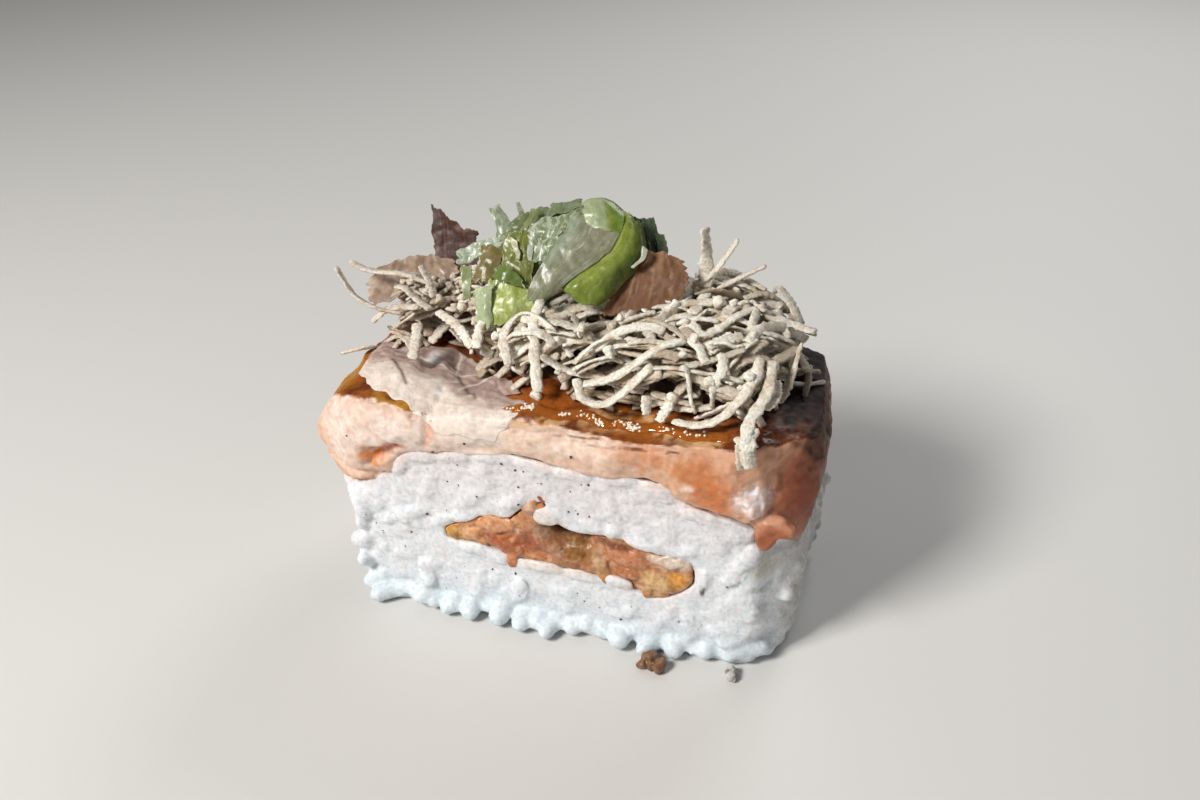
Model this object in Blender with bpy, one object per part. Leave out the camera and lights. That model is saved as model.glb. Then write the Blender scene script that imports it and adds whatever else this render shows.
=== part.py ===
"""Salmon oshizushi: pressed rice round a chopped fish filling, a seared salmon slab
over it, and on top crisp shreds, shaved dried fish and spring onion.

Metres, +Z up. The origin is in the middle of the flat base. The cut face that
shows the filling is at -Y, and X runs along the salmon's long side.
"""
import math
import random
from bisect import bisect_right

import bmesh
import bpy
from mathutils import Matrix, Vector, noise

MM = 0.001

# Driving sizes
HALF_DEPTH = 13.0 * MM
CORNER_X = 22.4 * MM
CORNER_SLOPE = 0.9
LEFT_CORNER_X = -24.6 * MM
LEFT_CORNER_SLOPE = 0.7
BACK_CORNER_X = 19.0 * MM
BACK_CORNER_WIDTH = 9.0 * MM
BACK_CORNER_DEPTH = 3.4 * MM
GAP = 0.35 * MM
GRAIN_LENGTH = 5.6 * MM
GRAIN_WIDTH = 2.7 * MM
GRAIN_SINK = 0.62 * MM
FACE_RELIEF = 0.5 * MM
FILLING_RELIEF = 0.9 * MM
SALMON_FRONT = 0.4 * MM
SALMON_SWELL = 0.8 * MM
SALMON_HEIGHT = 9.0 * MM
SHRED_WIDTH = 1.3 * MM
SHRED_THICKNESS = 0.85 * MM
SHRED_REACH = 1.2 * MM
SHRED_COUNT = 50
HEAP_RIM = 0.8 * MM
FLAKE_THICKNESS = 0.40 * MM
LEAF_THICKNESS = 0.80 * MM
CURL_THICKNESS = 0.90 * MM
CORE_THICKNESS = 1.20 * MM

# How finely each skin is divided
RICE_CELLS = (16, 5)
RICE_SPANS = 7
TUNNEL_SPANS = 4
FACE_RINGS = (0.35, 0.7)
FILLING_RINGS = (0.3, 0.65, 1.0)
SALMON_CELLS = (22, 9, 5)
HEAP_CELLS = (12, 7, 1)
FRONT_FLAKE_CELLS = (14, 7)
CURL_CELLS = (9, 5)
CORE_CELLS = (6, 4)

# Outlines of the cut face, as (place, height) in millimetres
RICE_TOP = ((-27, 17.0), (-24, 18.0), (-20.5, 19.6), (-17.6, 22.9), (-13, 24.0), (-5, 25.3),
            (3, 24.6), (10, 24.9), (13.5, 23.8), (17, 21.9), (22.5, 20.6), (25, 18.6), (28.2, 15.4))
RICE_LEFT = ((0, -24.2), (3, -26.2), (6, -26.5), (10, -25.0), (14, -25.9), (18, -26.2))
RICE_RIGHT = ((0, 25.2), (4, 26.8), (10, 27.6), (14, 27.7), (18, 27.2))
FILLING_TOP = ((-13.8, 13.2), (-9, 15.8), (-4.6, 16.6), (-2.4, 19.3), (-1, 19.9), (0.2, 17.2),
               (4.4, 15.8), (7, 16.2), (12.6, 14.8), (16.8, 13.6))
FILLING_BOTTOM = ((-13.8, 11.4), (-8.5, 11.2), (-3, 9.9), (5, 9.9), (9.5, 8.8), (12, 7.9),
                  (14.6, 9.0), (16.8, 11.2))
SALMON_TOP = ((-30, 29.0), (-26, 29.9), (-22, 31.3), (-16, 30.7), (-12, 30.3), (-6, 31.0),
              (-1.5, 31.8), (4, 31.0), (12, 30.9), (20, 31.3), (26, 31.0), (29.5, 30.0))

# Ends of the salmon, as (share of its height, X in millimetres)
SALMON_LEFT = ((0, -27.4), (0.12, -29.3), (0.33, -30.3), (0.58, -29.9), (0.85, -28.0), (1, -26.2))
SALMON_RIGHT = ((0, 27.6), (0.15, 28.3), (0.5, 28.9), (0.9, 29.4), (1, 28.6))

# The heap of crisp shreds, seen from above and along its crest, in millimetres
HEAP_ENDS = (-21.5, 24.5)
HEAP_FRONT = ((-21.5, 0.0), (-14, -1.0), (-8, -6.6), (-3, -9.4), (4, -10.8), (14, -10.9),
              (20, -9.6), (24.5, -4.0))
HEAP_BACK = ((-21.5, 5.0), (-14, 9.4), (-4, 11.2), (8, 11.6), (18, 10.4), (24.5, 5.5))
HEAP_CREST = ((-21.5, 35.6), (-16, 38.0), (-10, 38.4), (-4, 38.0), (4, 38.8), (10, 38.8),
              (16, 38.2), (21, 36.8), (24.5, 35.0))

# Shreds that stand out of the heap: start, middle and end in millimetres
SHREDS_THAT_STAND_OUT = (
    ((-28.6, -3.0, 40.9), (-26.4, -3.0, 37.4), (-19.5, -1.5, 35.6)),
    ((-28.5, 0.4, 40.2), (-23.5, 0.4, 39.3), (-16.5, 1.0, 36.8)),
    ((-24.6, -3.6, 34.4), (-22.2, -1.6, 36.6), (-17.5, 0.5, 36.4)),
    ((-2.9, -5.0, 39.6), (-2.7, -7.4, 37.0), (-1.0, -11.3, 33.6)),
    ((-5.2, -9.6, 34.2), (-5.4, -7.6, 36.8), (-0.4, -7.6, 36.2)),
    ((-9.9, -5.6, 36.3), (-10.0, -7.0, 34.8), (-9.6, -8.6, 33.6)),
    ((13.6, -5.8, 37.0), (9.0, -9.0, 35.6), (3.6, -11.2, 33.6)),
    ((3.0, -10.4, 34.6), (6.0, -12.3, 32.8), (11.4, -8.8, 35.2)),
    ((14.4, -5.9, 36.8), (15.6, -8.2, 35.4), (17.0, -10.6, 33.2)),
    ((11.4, -8.0, 35.6), (13.2, -10.4, 33.6), (12.5, -12.2, 32.6)),
    ((13.9, -11.4, 32.6), (18.4, -12.1, 32.6), (21.8, -7.6, 33.8)),
    ((22.2, -5.6, 34.6), (21.4, -11.0, 33.2), (21.6, -15.2, 30.6)),
    ((12.8, 7.0, 45.6), (13.2, 6.6, 42.0), (13.5, 5.0, 38.0)),
    ((16.8, 7.2, 44.4), (14.4, 5.8, 41.6), (11.6, 4.4, 38.2)),
    ((19.9, 7.4, 41.7), (17.0, 6.4, 39.8), (12.8, 5.2, 38.0)),
    ((13.0, 7.4, 38.6), (19.8, 8.4, 39.0), (24.8, 6.0, 34.2)),
    ((19.0, 2.0, 37.2), (21.8, 3.0, 37.2), (26.6, 1.6, 37.0)),
    ((20.0, -4.6, 35.2), (22.0, -1.4, 36.2), (25.8, 0.0, 35.8)),
    ((10.0, -1.0, 38.7), (13.0, 0.4, 39.2), (16.8, 2.2, 38.2)),
)

# Flakes and leaves between four corners in millimetres, from the lower left one round:
# name: (corners, cells, bow, ripple, finish)
SHEETS = {
    "flake_back": (((-21.6, 9.4, 31.6), (-21.2, 9.0, 43.8), (-18.2, 9.2, 43.2), (-15.6, 9.8, 31.6)),
                   (7, 4), 0.5, 0.35, "dried_fish"),
    "flake_left": (((-25.2, 1.8, 36.0), (-23.8, 4.6, 38.4), (-16.6, 6.8, 39.0), (-17.2, 3.4, 37.4)),
                   (4, 6), 0.3, 0.3, "dried_fish"),
    "flake_right": (((8.0, 1.6, 39.8), (9.8, 3.8, 44.2), (13.8, 3.0, 43.0), (12.8, 0.0, 40.1)),
                    (6, 5), 0.4, 0.3, "dried_fish"),
    "onion_leaf_front": (((-10.6, -4.8, 36.9), (-11.0, -2.6, 41.0), (-5.4, -1.4, 41.6),
                          (-5.0, -4.0, 37.4)), (5, 5), 0.9, 0.35, "onion_pale"),
    "onion_leaf_middle": (((-10.0, 0.2, 39.2), (-9.6, 2.0, 44.2), (-6.8, 1.8, 44.8),
                           (-5.2, 0.0, 39.4)), (5, 4), -0.6, 0.25, "onion_pale"),
    "onion_leaf_back": (((-7.6, 3.8, 39.0), (-6.2, 3.6, 46.6), (0.4, 7.4, 48.2), (0.6, 6.8, 39.2)),
                        (5, 5), 0.5, 0.4, "onion_pale"),
    "onion_strip_left": (((-15.8, 3.2, 39.9), (-15.4, 3.4, 41.7), (-11.2, 4.4, 42.6),
                          (-11.4, 4.2, 41.2)), (2, 4), 0.0, 0.1, "onion_pale"),
    "onion_strip_up": (((-10.6, 4.8, 39.2), (-12.2, 5.0, 46.4), (-10.8, 5.2, 47.0),
                        (-8.6, 4.8, 39.2)), (5, 2), 0.5, 0.1, "onion_pale"),
    "onion_bit_right": (((7.8, 6.2, 39.0), (6.4, 6.6, 45.6), (8.8, 7.0, 45.0), (10.6, 6.4, 39.0)),
                        (5, 3), 0.5, 0.3, "onion_green"),
}

# The front flake, along its rows: (row, X or reach in millimetres)
FLAKE_BACK_X = ((0, -24.6), (5, -18.0), (10, -11.0), (14, -5.0))
FLAKE_BACK_REACH = ((0, -10.4), (5, -10.0), (10, -8.6), (14, -2.6))
FLAKE_FRONT_X = ((0, -22.0), (5, -15.0), (10, -7.6), (14, -2.0))
FLAKE_FRONT_REACH = ((0, -6.6), (5, 0.6), (8, 4.2), (11, 4.4), (14, 0.0))

# The onion ring: middle, long direction and open side
CURL_MIDDLE = Vector((3.2, 1.5, 44.8)) * MM
CURL_ALONG = Vector((-0.51, -0.51, -0.66)).normalized()
CURL_OPEN = Vector((-0.5, -0.45, 0.74)).normalized()
CURL_LENGTH = 9.4 * MM
CURL_RADIUS = 4.6 * MM

# Where the heap lies under the onion and carries no shreds: middle and half widths
ONION_PLACE = (-1.2 * MM, 0.6 * MM)
ONION_REACH = (11.0 * MM, 5.6 * MM)

# Colours as linear red, green and blue, with a roughness
FINISHES = {
    "rice": ((0.82, 0.84, 0.80), 0.45),
    "filling": ((0.62, 0.22, 0.07), 0.30),
    "salmon": ((0.80, 0.40, 0.27), 0.30),
    "shreds": ((0.66, 0.57, 0.42), 0.80),
    "dried_fish": ((0.34, 0.19, 0.15), 0.40),
    "onion_green": ((0.20, 0.38, 0.05), 0.35),
    "onion_pale": ((0.58, 0.66, 0.42), 0.30),
}


def along(points, place):
    """Height in metres of a smooth line through (place, height) points in millimetres."""
    places = [point[0] for point in points]
    heights = [point[1] for point in points]
    place = min(max(place / MM, places[0]), places[-1])
    cell = min(bisect_right(places, place), len(places) - 1) - 1
    rises = []
    for low, high in zip(points, points[1:]):
        rises.append((high[1] - low[1]) / (high[0] - low[0]))
    first = (rises[max(cell - 1, 0)] + rises[cell]) / 2
    last = (rises[cell] + rises[min(cell + 1, len(rises) - 1)]) / 2
    width = places[cell + 1] - places[cell]
    share = (place - places[cell]) / width
    start_part = (1 + 2 * share) * (1 - share) ** 2 * heights[cell]
    end_part = share ** 2 * (3 - 2 * share) * heights[cell + 1]
    slope_part = width * share * (1 - share) * (first * (1 - share) - last * share)
    return (start_part + end_part + slope_part) * MM


def blend(low, high, share):
    """The value a share of the way from low to high."""
    return low + (high - low) * share


def wave(x, y, z, size, depth):
    """Soft unevenness, at most depth high, with bumps about size wide."""
    return depth * noise.noise(Vector((x, y, z)) / size)


def material(name):
    """The finish of one kind of food."""
    colour, roughness = FINISHES[name]
    finish = bpy.data.materials.new(name)
    finish.use_nodes = True
    shader = finish.node_tree.nodes["Principled BSDF"]
    shader.inputs["Base Color"].default_value = (*colour, 1.0)
    shader.inputs["Roughness"].default_value = roughness
    shader.inputs["Metallic"].default_value = 0.0
    return finish


def make_object(name, bm, finish):
    """One named object from a closed bmesh, with its faces pointing out."""
    bmesh.ops.recalc_face_normals(bm, faces=bm.faces)
    if bm.calc_volume(signed=True) < 0:
        bmesh.ops.reverse_faces(bm, faces=bm.faces)
    mesh = bpy.data.meshes.new(name)
    bm.to_mesh(mesh)
    bm.free()
    mesh.materials.append(finish)
    mesh.shade_smooth()
    piece = bpy.data.objects.new(name, mesh)
    bpy.context.scene.collection.objects.link(piece)
    return piece


def box_skin(counts, place):
    """The skin of a block of counts cells, with each corner put where place says."""
    bm = bmesh.new()
    corners = {}

    def corner(index):
        if index not in corners:
            shares = [value / count for value, count in zip(index, counts)]
            corners[index] = bm.verts.new(place(*shares))
        return corners[index]

    for axis in range(3):
        across, up = [other for other in range(3) if other != axis]
        for side in (0, counts[axis]):
            for i in range(counts[across]):
                for j in range(counts[up]):
                    ring = []
                    for step in ((0, 0), (1, 0), (1, 1), (0, 1)):
                        index = [0, 0, 0]
                        index[axis] = side
                        index[across] = i + step[0]
                        index[up] = j + step[1]
                        ring.append(corner(tuple(index)))
                    bm.faces.new(ring)
    return bm


def loft(rings, closed=False):
    """Skin over rings of as many points each, closed into a loop or by a fan at each end."""
    bm = bmesh.new()
    loops = [[bm.verts.new(point) for point in ring] for ring in rings]
    pairs = list(zip(loops, loops[1:]))
    if closed:
        pairs.append((loops[-1], loops[0]))
    for low, high in pairs:
        for i in range(len(low)):
            after = (i + 1) % len(low)
            bm.faces.new((low[i], low[after], high[after], high[i]))
    if not closed:
        for loop in (loops[0], loops[-1]):
            middle = sum((vert.co for vert in loop), Vector()) / len(loop)
            centre = bm.verts.new(middle)
            for i in range(len(loop)):
                bm.faces.new((loop[i], loop[(i + 1) % len(loop)], centre))
    return bm


def sheet(grid, thickness):
    """A thin solid round a grid of points, with both faces split into triangles alike."""
    rows = len(grid)
    columns = len(grid[0])
    bm = bmesh.new()
    sides = {1: [], -1: []}
    for i in range(rows):
        for side in sides:
            sides[side].append([])
        for j in range(columns):
            along_rows = grid[min(i + 1, rows - 1)][j] - grid[max(i - 1, 0)][j]
            along_columns = grid[i][min(j + 1, columns - 1)] - grid[i][max(j - 1, 0)]
            normal = along_rows.cross(along_columns).normalized()
            for side in sides:
                point = grid[i][j] + normal * side * thickness / 2
                sides[side][i].append(bm.verts.new(point))
    for side in sides.values():
        for i in range(rows - 1):
            for j in range(columns - 1):
                bm.faces.new((side[i][j], side[i + 1][j], side[i + 1][j + 1]))
                bm.faces.new((side[i][j], side[i + 1][j + 1], side[i][j + 1]))
    rim = [(i, 0) for i in range(rows)]
    rim += [(rows - 1, j) for j in range(1, columns)]
    rim += [(i, columns - 1) for i in range(rows - 2, -1, -1)]
    rim += [(0, j) for j in range(columns - 2, 0, -1)]
    for here, after in zip(rim, rim[1:] + rim[:1]):
        low = [sides[-1][i][j] for i, j in (here, after)]
        high = [sides[1][i][j] for i, j in (after, here)]
        bm.faces.new(low + high)
    return bm


def keep_one_body(mesh):
    """Drop loose scraps and fill sealed hollows, so that one closed body is left."""
    bm = bmesh.new()
    bm.from_mesh(mesh)
    bmesh.ops.triangulate(bm, faces=bm.faces)
    left = set(bm.verts)
    bodies = []
    while left:
        body = set()
        edge_of_body = [left.pop()]
        while edge_of_body:
            vert = edge_of_body.pop()
            body.add(vert)
            for edge in vert.link_edges:
                other = edge.other_vert(vert)
                if other in left:
                    left.remove(other)
                    edge_of_body.append(other)
        bodies.append(body)
    largest = max(bodies, key=len)
    scraps = [vert for vert in bm.verts if vert not in largest]
    bmesh.ops.delete(bm, geom=scraps, context="VERTS")
    bm.to_mesh(mesh)
    bm.free()


def fuse(core, pieces):
    """Join the pieces to their core in one Boolean union, and remove them."""
    group = bpy.data.collections.new(core.name + "_pieces")
    bpy.context.scene.collection.children.link(group)
    for piece in pieces:
        bpy.context.scene.collection.objects.unlink(piece)
        group.objects.link(piece)
    union = core.modifiers.new("union", "BOOLEAN")
    union.operation = "UNION"
    union.operand_type = "COLLECTION"
    union.collection = group
    union.solver = "EXACT"
    seen = core.evaluated_get(bpy.context.evaluated_depsgraph_get())
    joined = bpy.data.meshes.new_from_object(seen)
    core.modifiers.clear()
    core.data = joined
    for piece in pieces:
        bpy.data.objects.remove(piece)
    bpy.data.collections.remove(group)
    keep_one_body(joined)
    joined.name = core.name


def cut_face(x):
    """Y of the flat cut face, which turns back at its corners, most at the right one."""
    right = max(0.0, x - CORNER_X)
    left = max(0.0, LEFT_CORNER_X - x)
    return -HALF_DEPTH + right * CORNER_SLOPE + left * LEFT_CORNER_SLOPE


def back_face(x):
    """Y of the back, with its corners rounded."""
    side = max(0.0, abs(x) - BACK_CORNER_X) / BACK_CORNER_WIDTH
    return HALF_DEPTH - BACK_CORNER_DEPTH * side ** 2


def from_front_to_back(x, share):
    """Y a share of the way from the cut face to the back at x."""
    return blend(cut_face(x), back_face(x), share)


def rice_top(x, y):
    """Top of the rice, which also shapes the underside of the salmon."""
    return along(RICE_TOP, x) + wave(x, y, 0.0, 7.0 * MM, 0.35 * MM)


def salmon_under(x, y):
    """Underside of the salmon, as far off the rice where the rice is steep as elsewhere."""
    step = 1.2 * MM
    slope = (rice_top(x + step, y) - rice_top(x - step, y)) / (2 * step)
    return rice_top(x, y) + (GAP + 0.12 * MM) * math.sqrt(1 + slope ** 2)


def salmon_top(x, y):
    """Top of the salmon, a little lower towards the back."""
    back = (y + HALF_DEPTH) / (2 * HALF_DEPTH)
    return along(SALMON_TOP, x) - 1.2 * MM * back ** 2 + wave(x, y, 0.05, 6.0 * MM, 0.3 * MM)


# The rice block, with a tunnel for the filling

def rice_section():
    """Points (x, z) round the rice, from the lower left corner over the top."""
    across, up = RICE_CELLS
    places = [(0, j) for j in range(up)]
    places += [(i, up) for i in range(across)]
    places += [(across, j) for j in range(up, 0, -1)]
    places += [(i, 0) for i in range(across, 0, -1)]
    points = []
    for i, j in places:
        guess = blend(RICE_TOP[0][0], RICE_TOP[-1][0], i / across) * MM
        z = rice_top(guess, 0.0) * j / up
        x = blend(along(RICE_LEFT, z), along(RICE_RIGHT, z), i / across)
        points.append(Vector((x, rice_top(x, 0.0) * j / up)))
    return points


def filling_section(inset):
    """As many points (x, z) round the filling, drawn in by inset, in the same order."""
    across, up = RICE_CELLS
    half = across + up
    low, high = FILLING_TOP[0][0] * MM, FILLING_TOP[-1][0] * MM
    points = []
    for step in range(2 * half):
        share = (step - up / 2) / half
        over_top = 0 <= share < 1
        x = (low + high) / 2 - (high - low) / 2 * math.cos(math.pi * share)
        points.append(Vector((x, along(FILLING_TOP if over_top else FILLING_BOTTOM, x))))
    drawn = []
    for i, point in enumerate(points):
        before = (point - points[i - 1]).normalized()
        after = (points[(i + 1) % len(points)] - point).normalized()
        both = before + after
        inward = Vector((both.y, -both.x)) / max(1 + before.dot(after), 0.4)
        drawn.append(point + inward * inset)
    return drawn


def outside_rings(section):
    """Rings round the block from the cut face to the back."""
    rings = []
    for span in range(RICE_SPANS + 1):
        ring = []
        for x, z in section:
            y = from_front_to_back(x, span / RICE_SPANS)
            uneven = (rice_top(x, y) - rice_top(x, 0.0)) * z / rice_top(x, 0.0)
            ring.append(Vector((x, y, z + uneven)))
        rings.append(ring)
    return rings


def face_rings(section, tunnel, face):
    """Rings across the cut face or the back, from its edge to the tunnel's mouth."""
    rings = []
    for share in FACE_RINGS:
        ring = []
        for edge, mouth in zip(section, tunnel):
            x, z = edge.lerp(mouth, share)
            ring.append(Vector((x, face(x) + wave(x, 0.0, z, 3.2 * MM, FACE_RELIEF), z)))
        rings.append(ring)
    return rings


def tunnel_rings(tunnel):
    """Rings down the tunnel from the back to the cut face."""
    rings = []
    for span in range(TUNNEL_SPANS + 1):
        share = 1 - span / TUNNEL_SPANS
        rings.append([Vector((x, from_front_to_back(x, share), z)) for x, z in tunnel])
    return rings


def make_rice_core():
    """The pressed block as one skin: outside, back, tunnel and cut face."""
    section = rice_section()
    tunnel = filling_section(0.0)
    rings = outside_rings(section)
    rings += face_rings(section, tunnel, back_face)
    rings += tunnel_rings(tunnel)
    rings += reversed(face_rings(section, tunnel, cut_face))
    return make_object("rice", loft(rings, closed=True), material("rice"))


def near_filling(x, z, margin):
    """Whether a point of the cut face lies in the filling or within margin of it."""
    if not (FILLING_TOP[0][0] * MM - margin < x < FILLING_TOP[-1][0] * MM + margin):
        return False
    low = min(along(FILLING_BOTTOM, x + side * margin) for side in (-1, 0, 1))
    high = max(along(FILLING_TOP, x + side * margin) for side in (-1, 0, 1))
    return low - margin < z < high + margin


def grain_fits(verts):
    """Whether a grain keeps clear of the filling, the salmon and the table."""
    for vert in verts:
        x, y, z = vert.co
        if z < 0.05 * MM or z > rice_top(x, y) - 0.15 * MM:
            return False
        if near_filling(x, z, 0.6 * MM):
            return False
    return True


def make_grain(centre, outward, heading, draw):
    """One rice grain lying in a wall of the block, or None where it wouldn't fit."""
    length = GRAIN_LENGTH * draw.uniform(0.85, 1.1)
    width = GRAIN_WIDTH * draw.uniform(0.9, 1.08)
    side = outward.cross(heading).normalized()
    heading = side.cross(outward).normalized()
    turn = Matrix((side * width / 2, outward * width * 0.44, heading * length / 2)).transposed()
    bm = bmesh.new()
    bmesh.ops.create_uvsphere(bm, u_segments=6, v_segments=4, radius=1.0)
    bmesh.ops.transform(bm, matrix=Matrix.Translation(centre) @ turn.to_4x4(), verts=bm.verts)
    if not grain_fits(bm.verts):
        bm.free()
        return None
    return make_object("grain", bm, bpy.data.materials["rice"])


def staggered(draw, rows, columns, start, pitch):
    """Places in staggered rows, each a little off, with a turn: (across, up, turn)."""
    for row in range(rows):
        for column in range(columns):
            across = start[0] + pitch[0] * (column + (row % 2) / 2) + draw.uniform(-0.9, 0.9)
            up = start[1] + pitch[1] * row + draw.uniform(-0.6, 0.6)
            yield across * MM, up * MM, draw.uniform(-1.1, 1.1)


def grain_places(draw):
    """Where grains show: (centre, outward direction, heading) on each wall of the block."""
    for x, z, turn in staggered(draw, 7, 9, (-24.2, 2.2), (5.8, 3.3)):
        outward = Vector((0.65 if x > CORNER_X else 0.0, -1, 0)).normalized()
        if x < CORNER_X + 3 * MM:
            centre = Vector((x, cut_face(x), z)) - outward * GRAIN_SINK
            yield centre, outward, Vector((math.cos(turn), 0, math.sin(turn)))
    for x, z, turn in staggered(draw, 4, 7, (-22.0, 3.0), (6.6, 5.2)):
        centre = Vector((x, back_face(x) - GRAIN_SINK, z))
        yield centre, Vector((0, 1, 0)), Vector((math.cos(turn), 0, math.sin(turn)))
    for side, outline in ((-1, RICE_LEFT), (1, RICE_RIGHT)):
        for y, z, turn in staggered(draw, 3, 4, (-7.6, 2.6), (4.9, 4.9)):
            centre = Vector((along(outline, z) - side * GRAIN_SINK, y, z))
            yield centre, Vector((side, 0, 0)), Vector((0, math.cos(turn), math.sin(turn)))
    for x, z, turn in staggered(draw, 1, 11, (-22.5, 1.35), (4.4, 0.0)):
        centre = Vector((x, cut_face(x) + draw.uniform(0.9, 2.0) * MM, GRAIN_WIDTH / 2))
        yield centre, Vector((0, 0, -1)), Vector((turn / 2, -1, 0)).normalized()


def make_rice():
    """The block with grains standing out of its walls and along its lower edge."""
    draw = random.Random(11)
    core = make_rice_core()
    grains = []
    for centre, outward, heading in grain_places(draw):
        grain = make_grain(centre, outward, heading, draw)
        if grain:
            grains.append(grain)
    fuse(core, grains)


# The chopped fish filling, which runs through the rice

def lumpy_face(section, face, share, place):
    """A ring of one end of the filling, drawn in to a share of its section."""
    middle = sum(section, Vector((0, 0))) / len(section)
    relief = FILLING_RELIEF if share < 1 else 0.4 * FILLING_RELIEF
    ring = []
    for point in section:
        x, z = middle.lerp(point, share)
        ring.append(Vector((x, face(x) + wave(x, place, z, 2.6 * MM, relief), z)))
    return ring


def make_filling():
    """The filling from the cut face to the back, with chunky relief on its two ends."""
    section = filling_section(GAP)
    rings = [lumpy_face(section, cut_face, share, 0.02) for share in FILLING_RINGS]
    for span in range(1, TUNNEL_SPANS):
        share = span / TUNNEL_SPANS
        rings.append([Vector((x, from_front_to_back(x, share), z)) for x, z in section])
    rings += [lumpy_face(section, back_face, share, 0.09) for share in reversed(FILLING_RINGS)]
    make_object("filling", loft(rings), material("filling"))


# The salmon slab, which sags over both shoulders of the rice

def salmon_point(u, v, w, grow=0.0):
    """A point of the slab from its three shares, or of a slab grown by grow on each side."""
    x = blend(along(SALMON_LEFT, w * MM) - grow, along(SALMON_RIGHT, w * MM) + grow, u)
    swell = SALMON_FRONT + SALMON_SWELL * math.sin(math.pi * w) * (1.6 - u)
    front = cut_face(x) - swell + wave(x, 0.0, w * 0.01, 5.0 * MM, 0.4 * MM) - grow
    back = back_face(x) + swell + 0.4 * MM + grow
    y = blend(front, back, v)
    narrow = 1 - 0.10 * max(0.0, v - 0.35) * u
    x *= narrow
    low = salmon_under(x, y)
    high = salmon_top(x, y) + grow
    rounded = 0.5 * MM * (max(0.0, 1 - v * 9) + max(0.0, v * 9 - 8))
    z = blend(low, high, w) - rounded * w ** 4
    return Vector((x, y, z))


def make_salmon():
    """The slab: its left end is a thick roll, its right end hangs over the corner."""
    make_object("salmon", box_skin(SALMON_CELLS, salmon_point), material("salmon"))


# The heap of crisp shreds

def heap_edges(x):
    """Y of the heap's front and back edge at x."""
    return along(HEAP_FRONT, x), along(HEAP_BACK, x)


def heap_top(x, y):
    """Height of the packed part of the heap."""
    front, back = heap_edges(x)
    across = min(max((y - front) / (back - front), 0.0), 1.0)
    dome = (1 - (2 * across - 1) ** 2) ** 0.75
    rim = salmon_top(x, y) + GAP + HEAP_RIM
    lumps = wave(x, y, 0.02, 3.0 * MM, 0.9 * MM) * dome
    return rim + (along(HEAP_CREST, x) - 32.6 * MM) * dome + lumps


def heap_point(u, v, w):
    """A point of the heap's packed core from its three shares."""
    x = blend(HEAP_ENDS[0], HEAP_ENDS[1], u) * MM
    front, back = heap_edges(x)
    y = blend(front, back, v)
    low = salmon_top(x, y) + GAP + 0.2 * MM
    return Vector((x, y, blend(low, heap_top(x, y), w)))


def make_shred(points):
    """One crisp strip with a flat four-sided section, bent through the points."""
    rings = []
    for i, point in enumerate(points):
        ahead = (points[min(i + 1, len(points) - 1)] - points[max(i - 1, 0)]).normalized()
        side = ahead.cross(Vector((0.13, 0.09, 1.0))).normalized()
        up = side.cross(ahead)
        taper = 0.75 if i in (0, len(points) - 1) else 1.0
        ring = []
        for across, over in ((-1, -1), (1, -1), (1, 1), (-1, 1)):
            ring.append(point + side * across * SHRED_WIDTH / 2 * taper
                        + up * over * SHRED_THICKNESS / 2 * taper)
        rings.append(ring)
    bm = bmesh.new()
    loops = [[bm.verts.new(point) for point in ring] for ring in rings]
    for low, high in zip(loops, loops[1:]):
        for i in range(4):
            bm.faces.new((low[i], low[(i + 1) % 4], high[(i + 1) % 4], high[i]))
    bm.faces.new(loops[0])
    bm.faces.new(loops[-1])
    return make_object("shred", bm, bpy.data.materials["shreds"])


def bent(start, middle, end, steps):
    """Points of a smooth bend through three points."""
    start, middle, end = (Vector(point) * MM for point in (start, middle, end))
    handle = middle * 2 - (start + end) / 2
    points = []
    for step in range(steps + 1):
        share = step / steps
        first = start.lerp(handle, share)
        points.append(first.lerp(handle.lerp(end, share), share))
    return points


def rooted(points):
    """The points, with the last ones sunk so that the shred's end sits in the heap."""
    last = len(points) - 1
    sunk = heap_top(points[-1].x, points[-1].y) - 0.2 * MM
    drop = min(0.0, sunk - points[-1].z)
    for i, point in enumerate(points):
        point.z += drop * (i / last) ** 2
    return points


def under_onion(x, y):
    """Whether a place on the heap lies under the spring onion."""
    across = (x - ONION_PLACE[0]) / ONION_REACH[0]
    deep = (y - ONION_PLACE[1]) / ONION_REACH[1]
    return across ** 2 + deep ** 2 < 1


def scattered_shred(draw, index):
    """Points of one shred lying on the heap, or None where it would cross other food."""
    share = (index * 0.618034) % 1.0
    x = blend(HEAP_ENDS[0] + 2, HEAP_ENDS[1] - 2, share) * MM
    front, back = heap_edges(x)
    y = blend(front + 1.0 * MM, back - 1.0 * MM, draw.random() ** 1.3)
    turn = draw.uniform(-1.1, 1.1) + (math.pi if draw.random() < 0.5 else 0)
    bend = draw.uniform(-0.35, 0.35)
    length = draw.uniform(5.0, 11.0) * MM
    rise = draw.uniform(0.0, 1.6) * MM if x > -13 * MM and draw.random() < 0.4 else 0.0
    steps = 4
    points = []
    for step in range(steps + 1):
        front, back = heap_edges(x)
        if not (HEAP_ENDS[0] * MM < x < HEAP_ENDS[1] * MM):
            return None
        if not (front - SHRED_REACH < y < back + SHRED_REACH):
            return None
        if under_onion(x, y):
            return None
        arch = -0.25 * MM + 1.05 * MM * math.sin(math.pi * step / steps)
        lift = arch + rise * (step / steps) ** 3
        points.append(Vector((x, y, heap_top(x, y) + lift)))
        x += math.cos(turn) * length / steps
        y += math.sin(turn) * length / steps
        turn += bend
    return points


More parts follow.
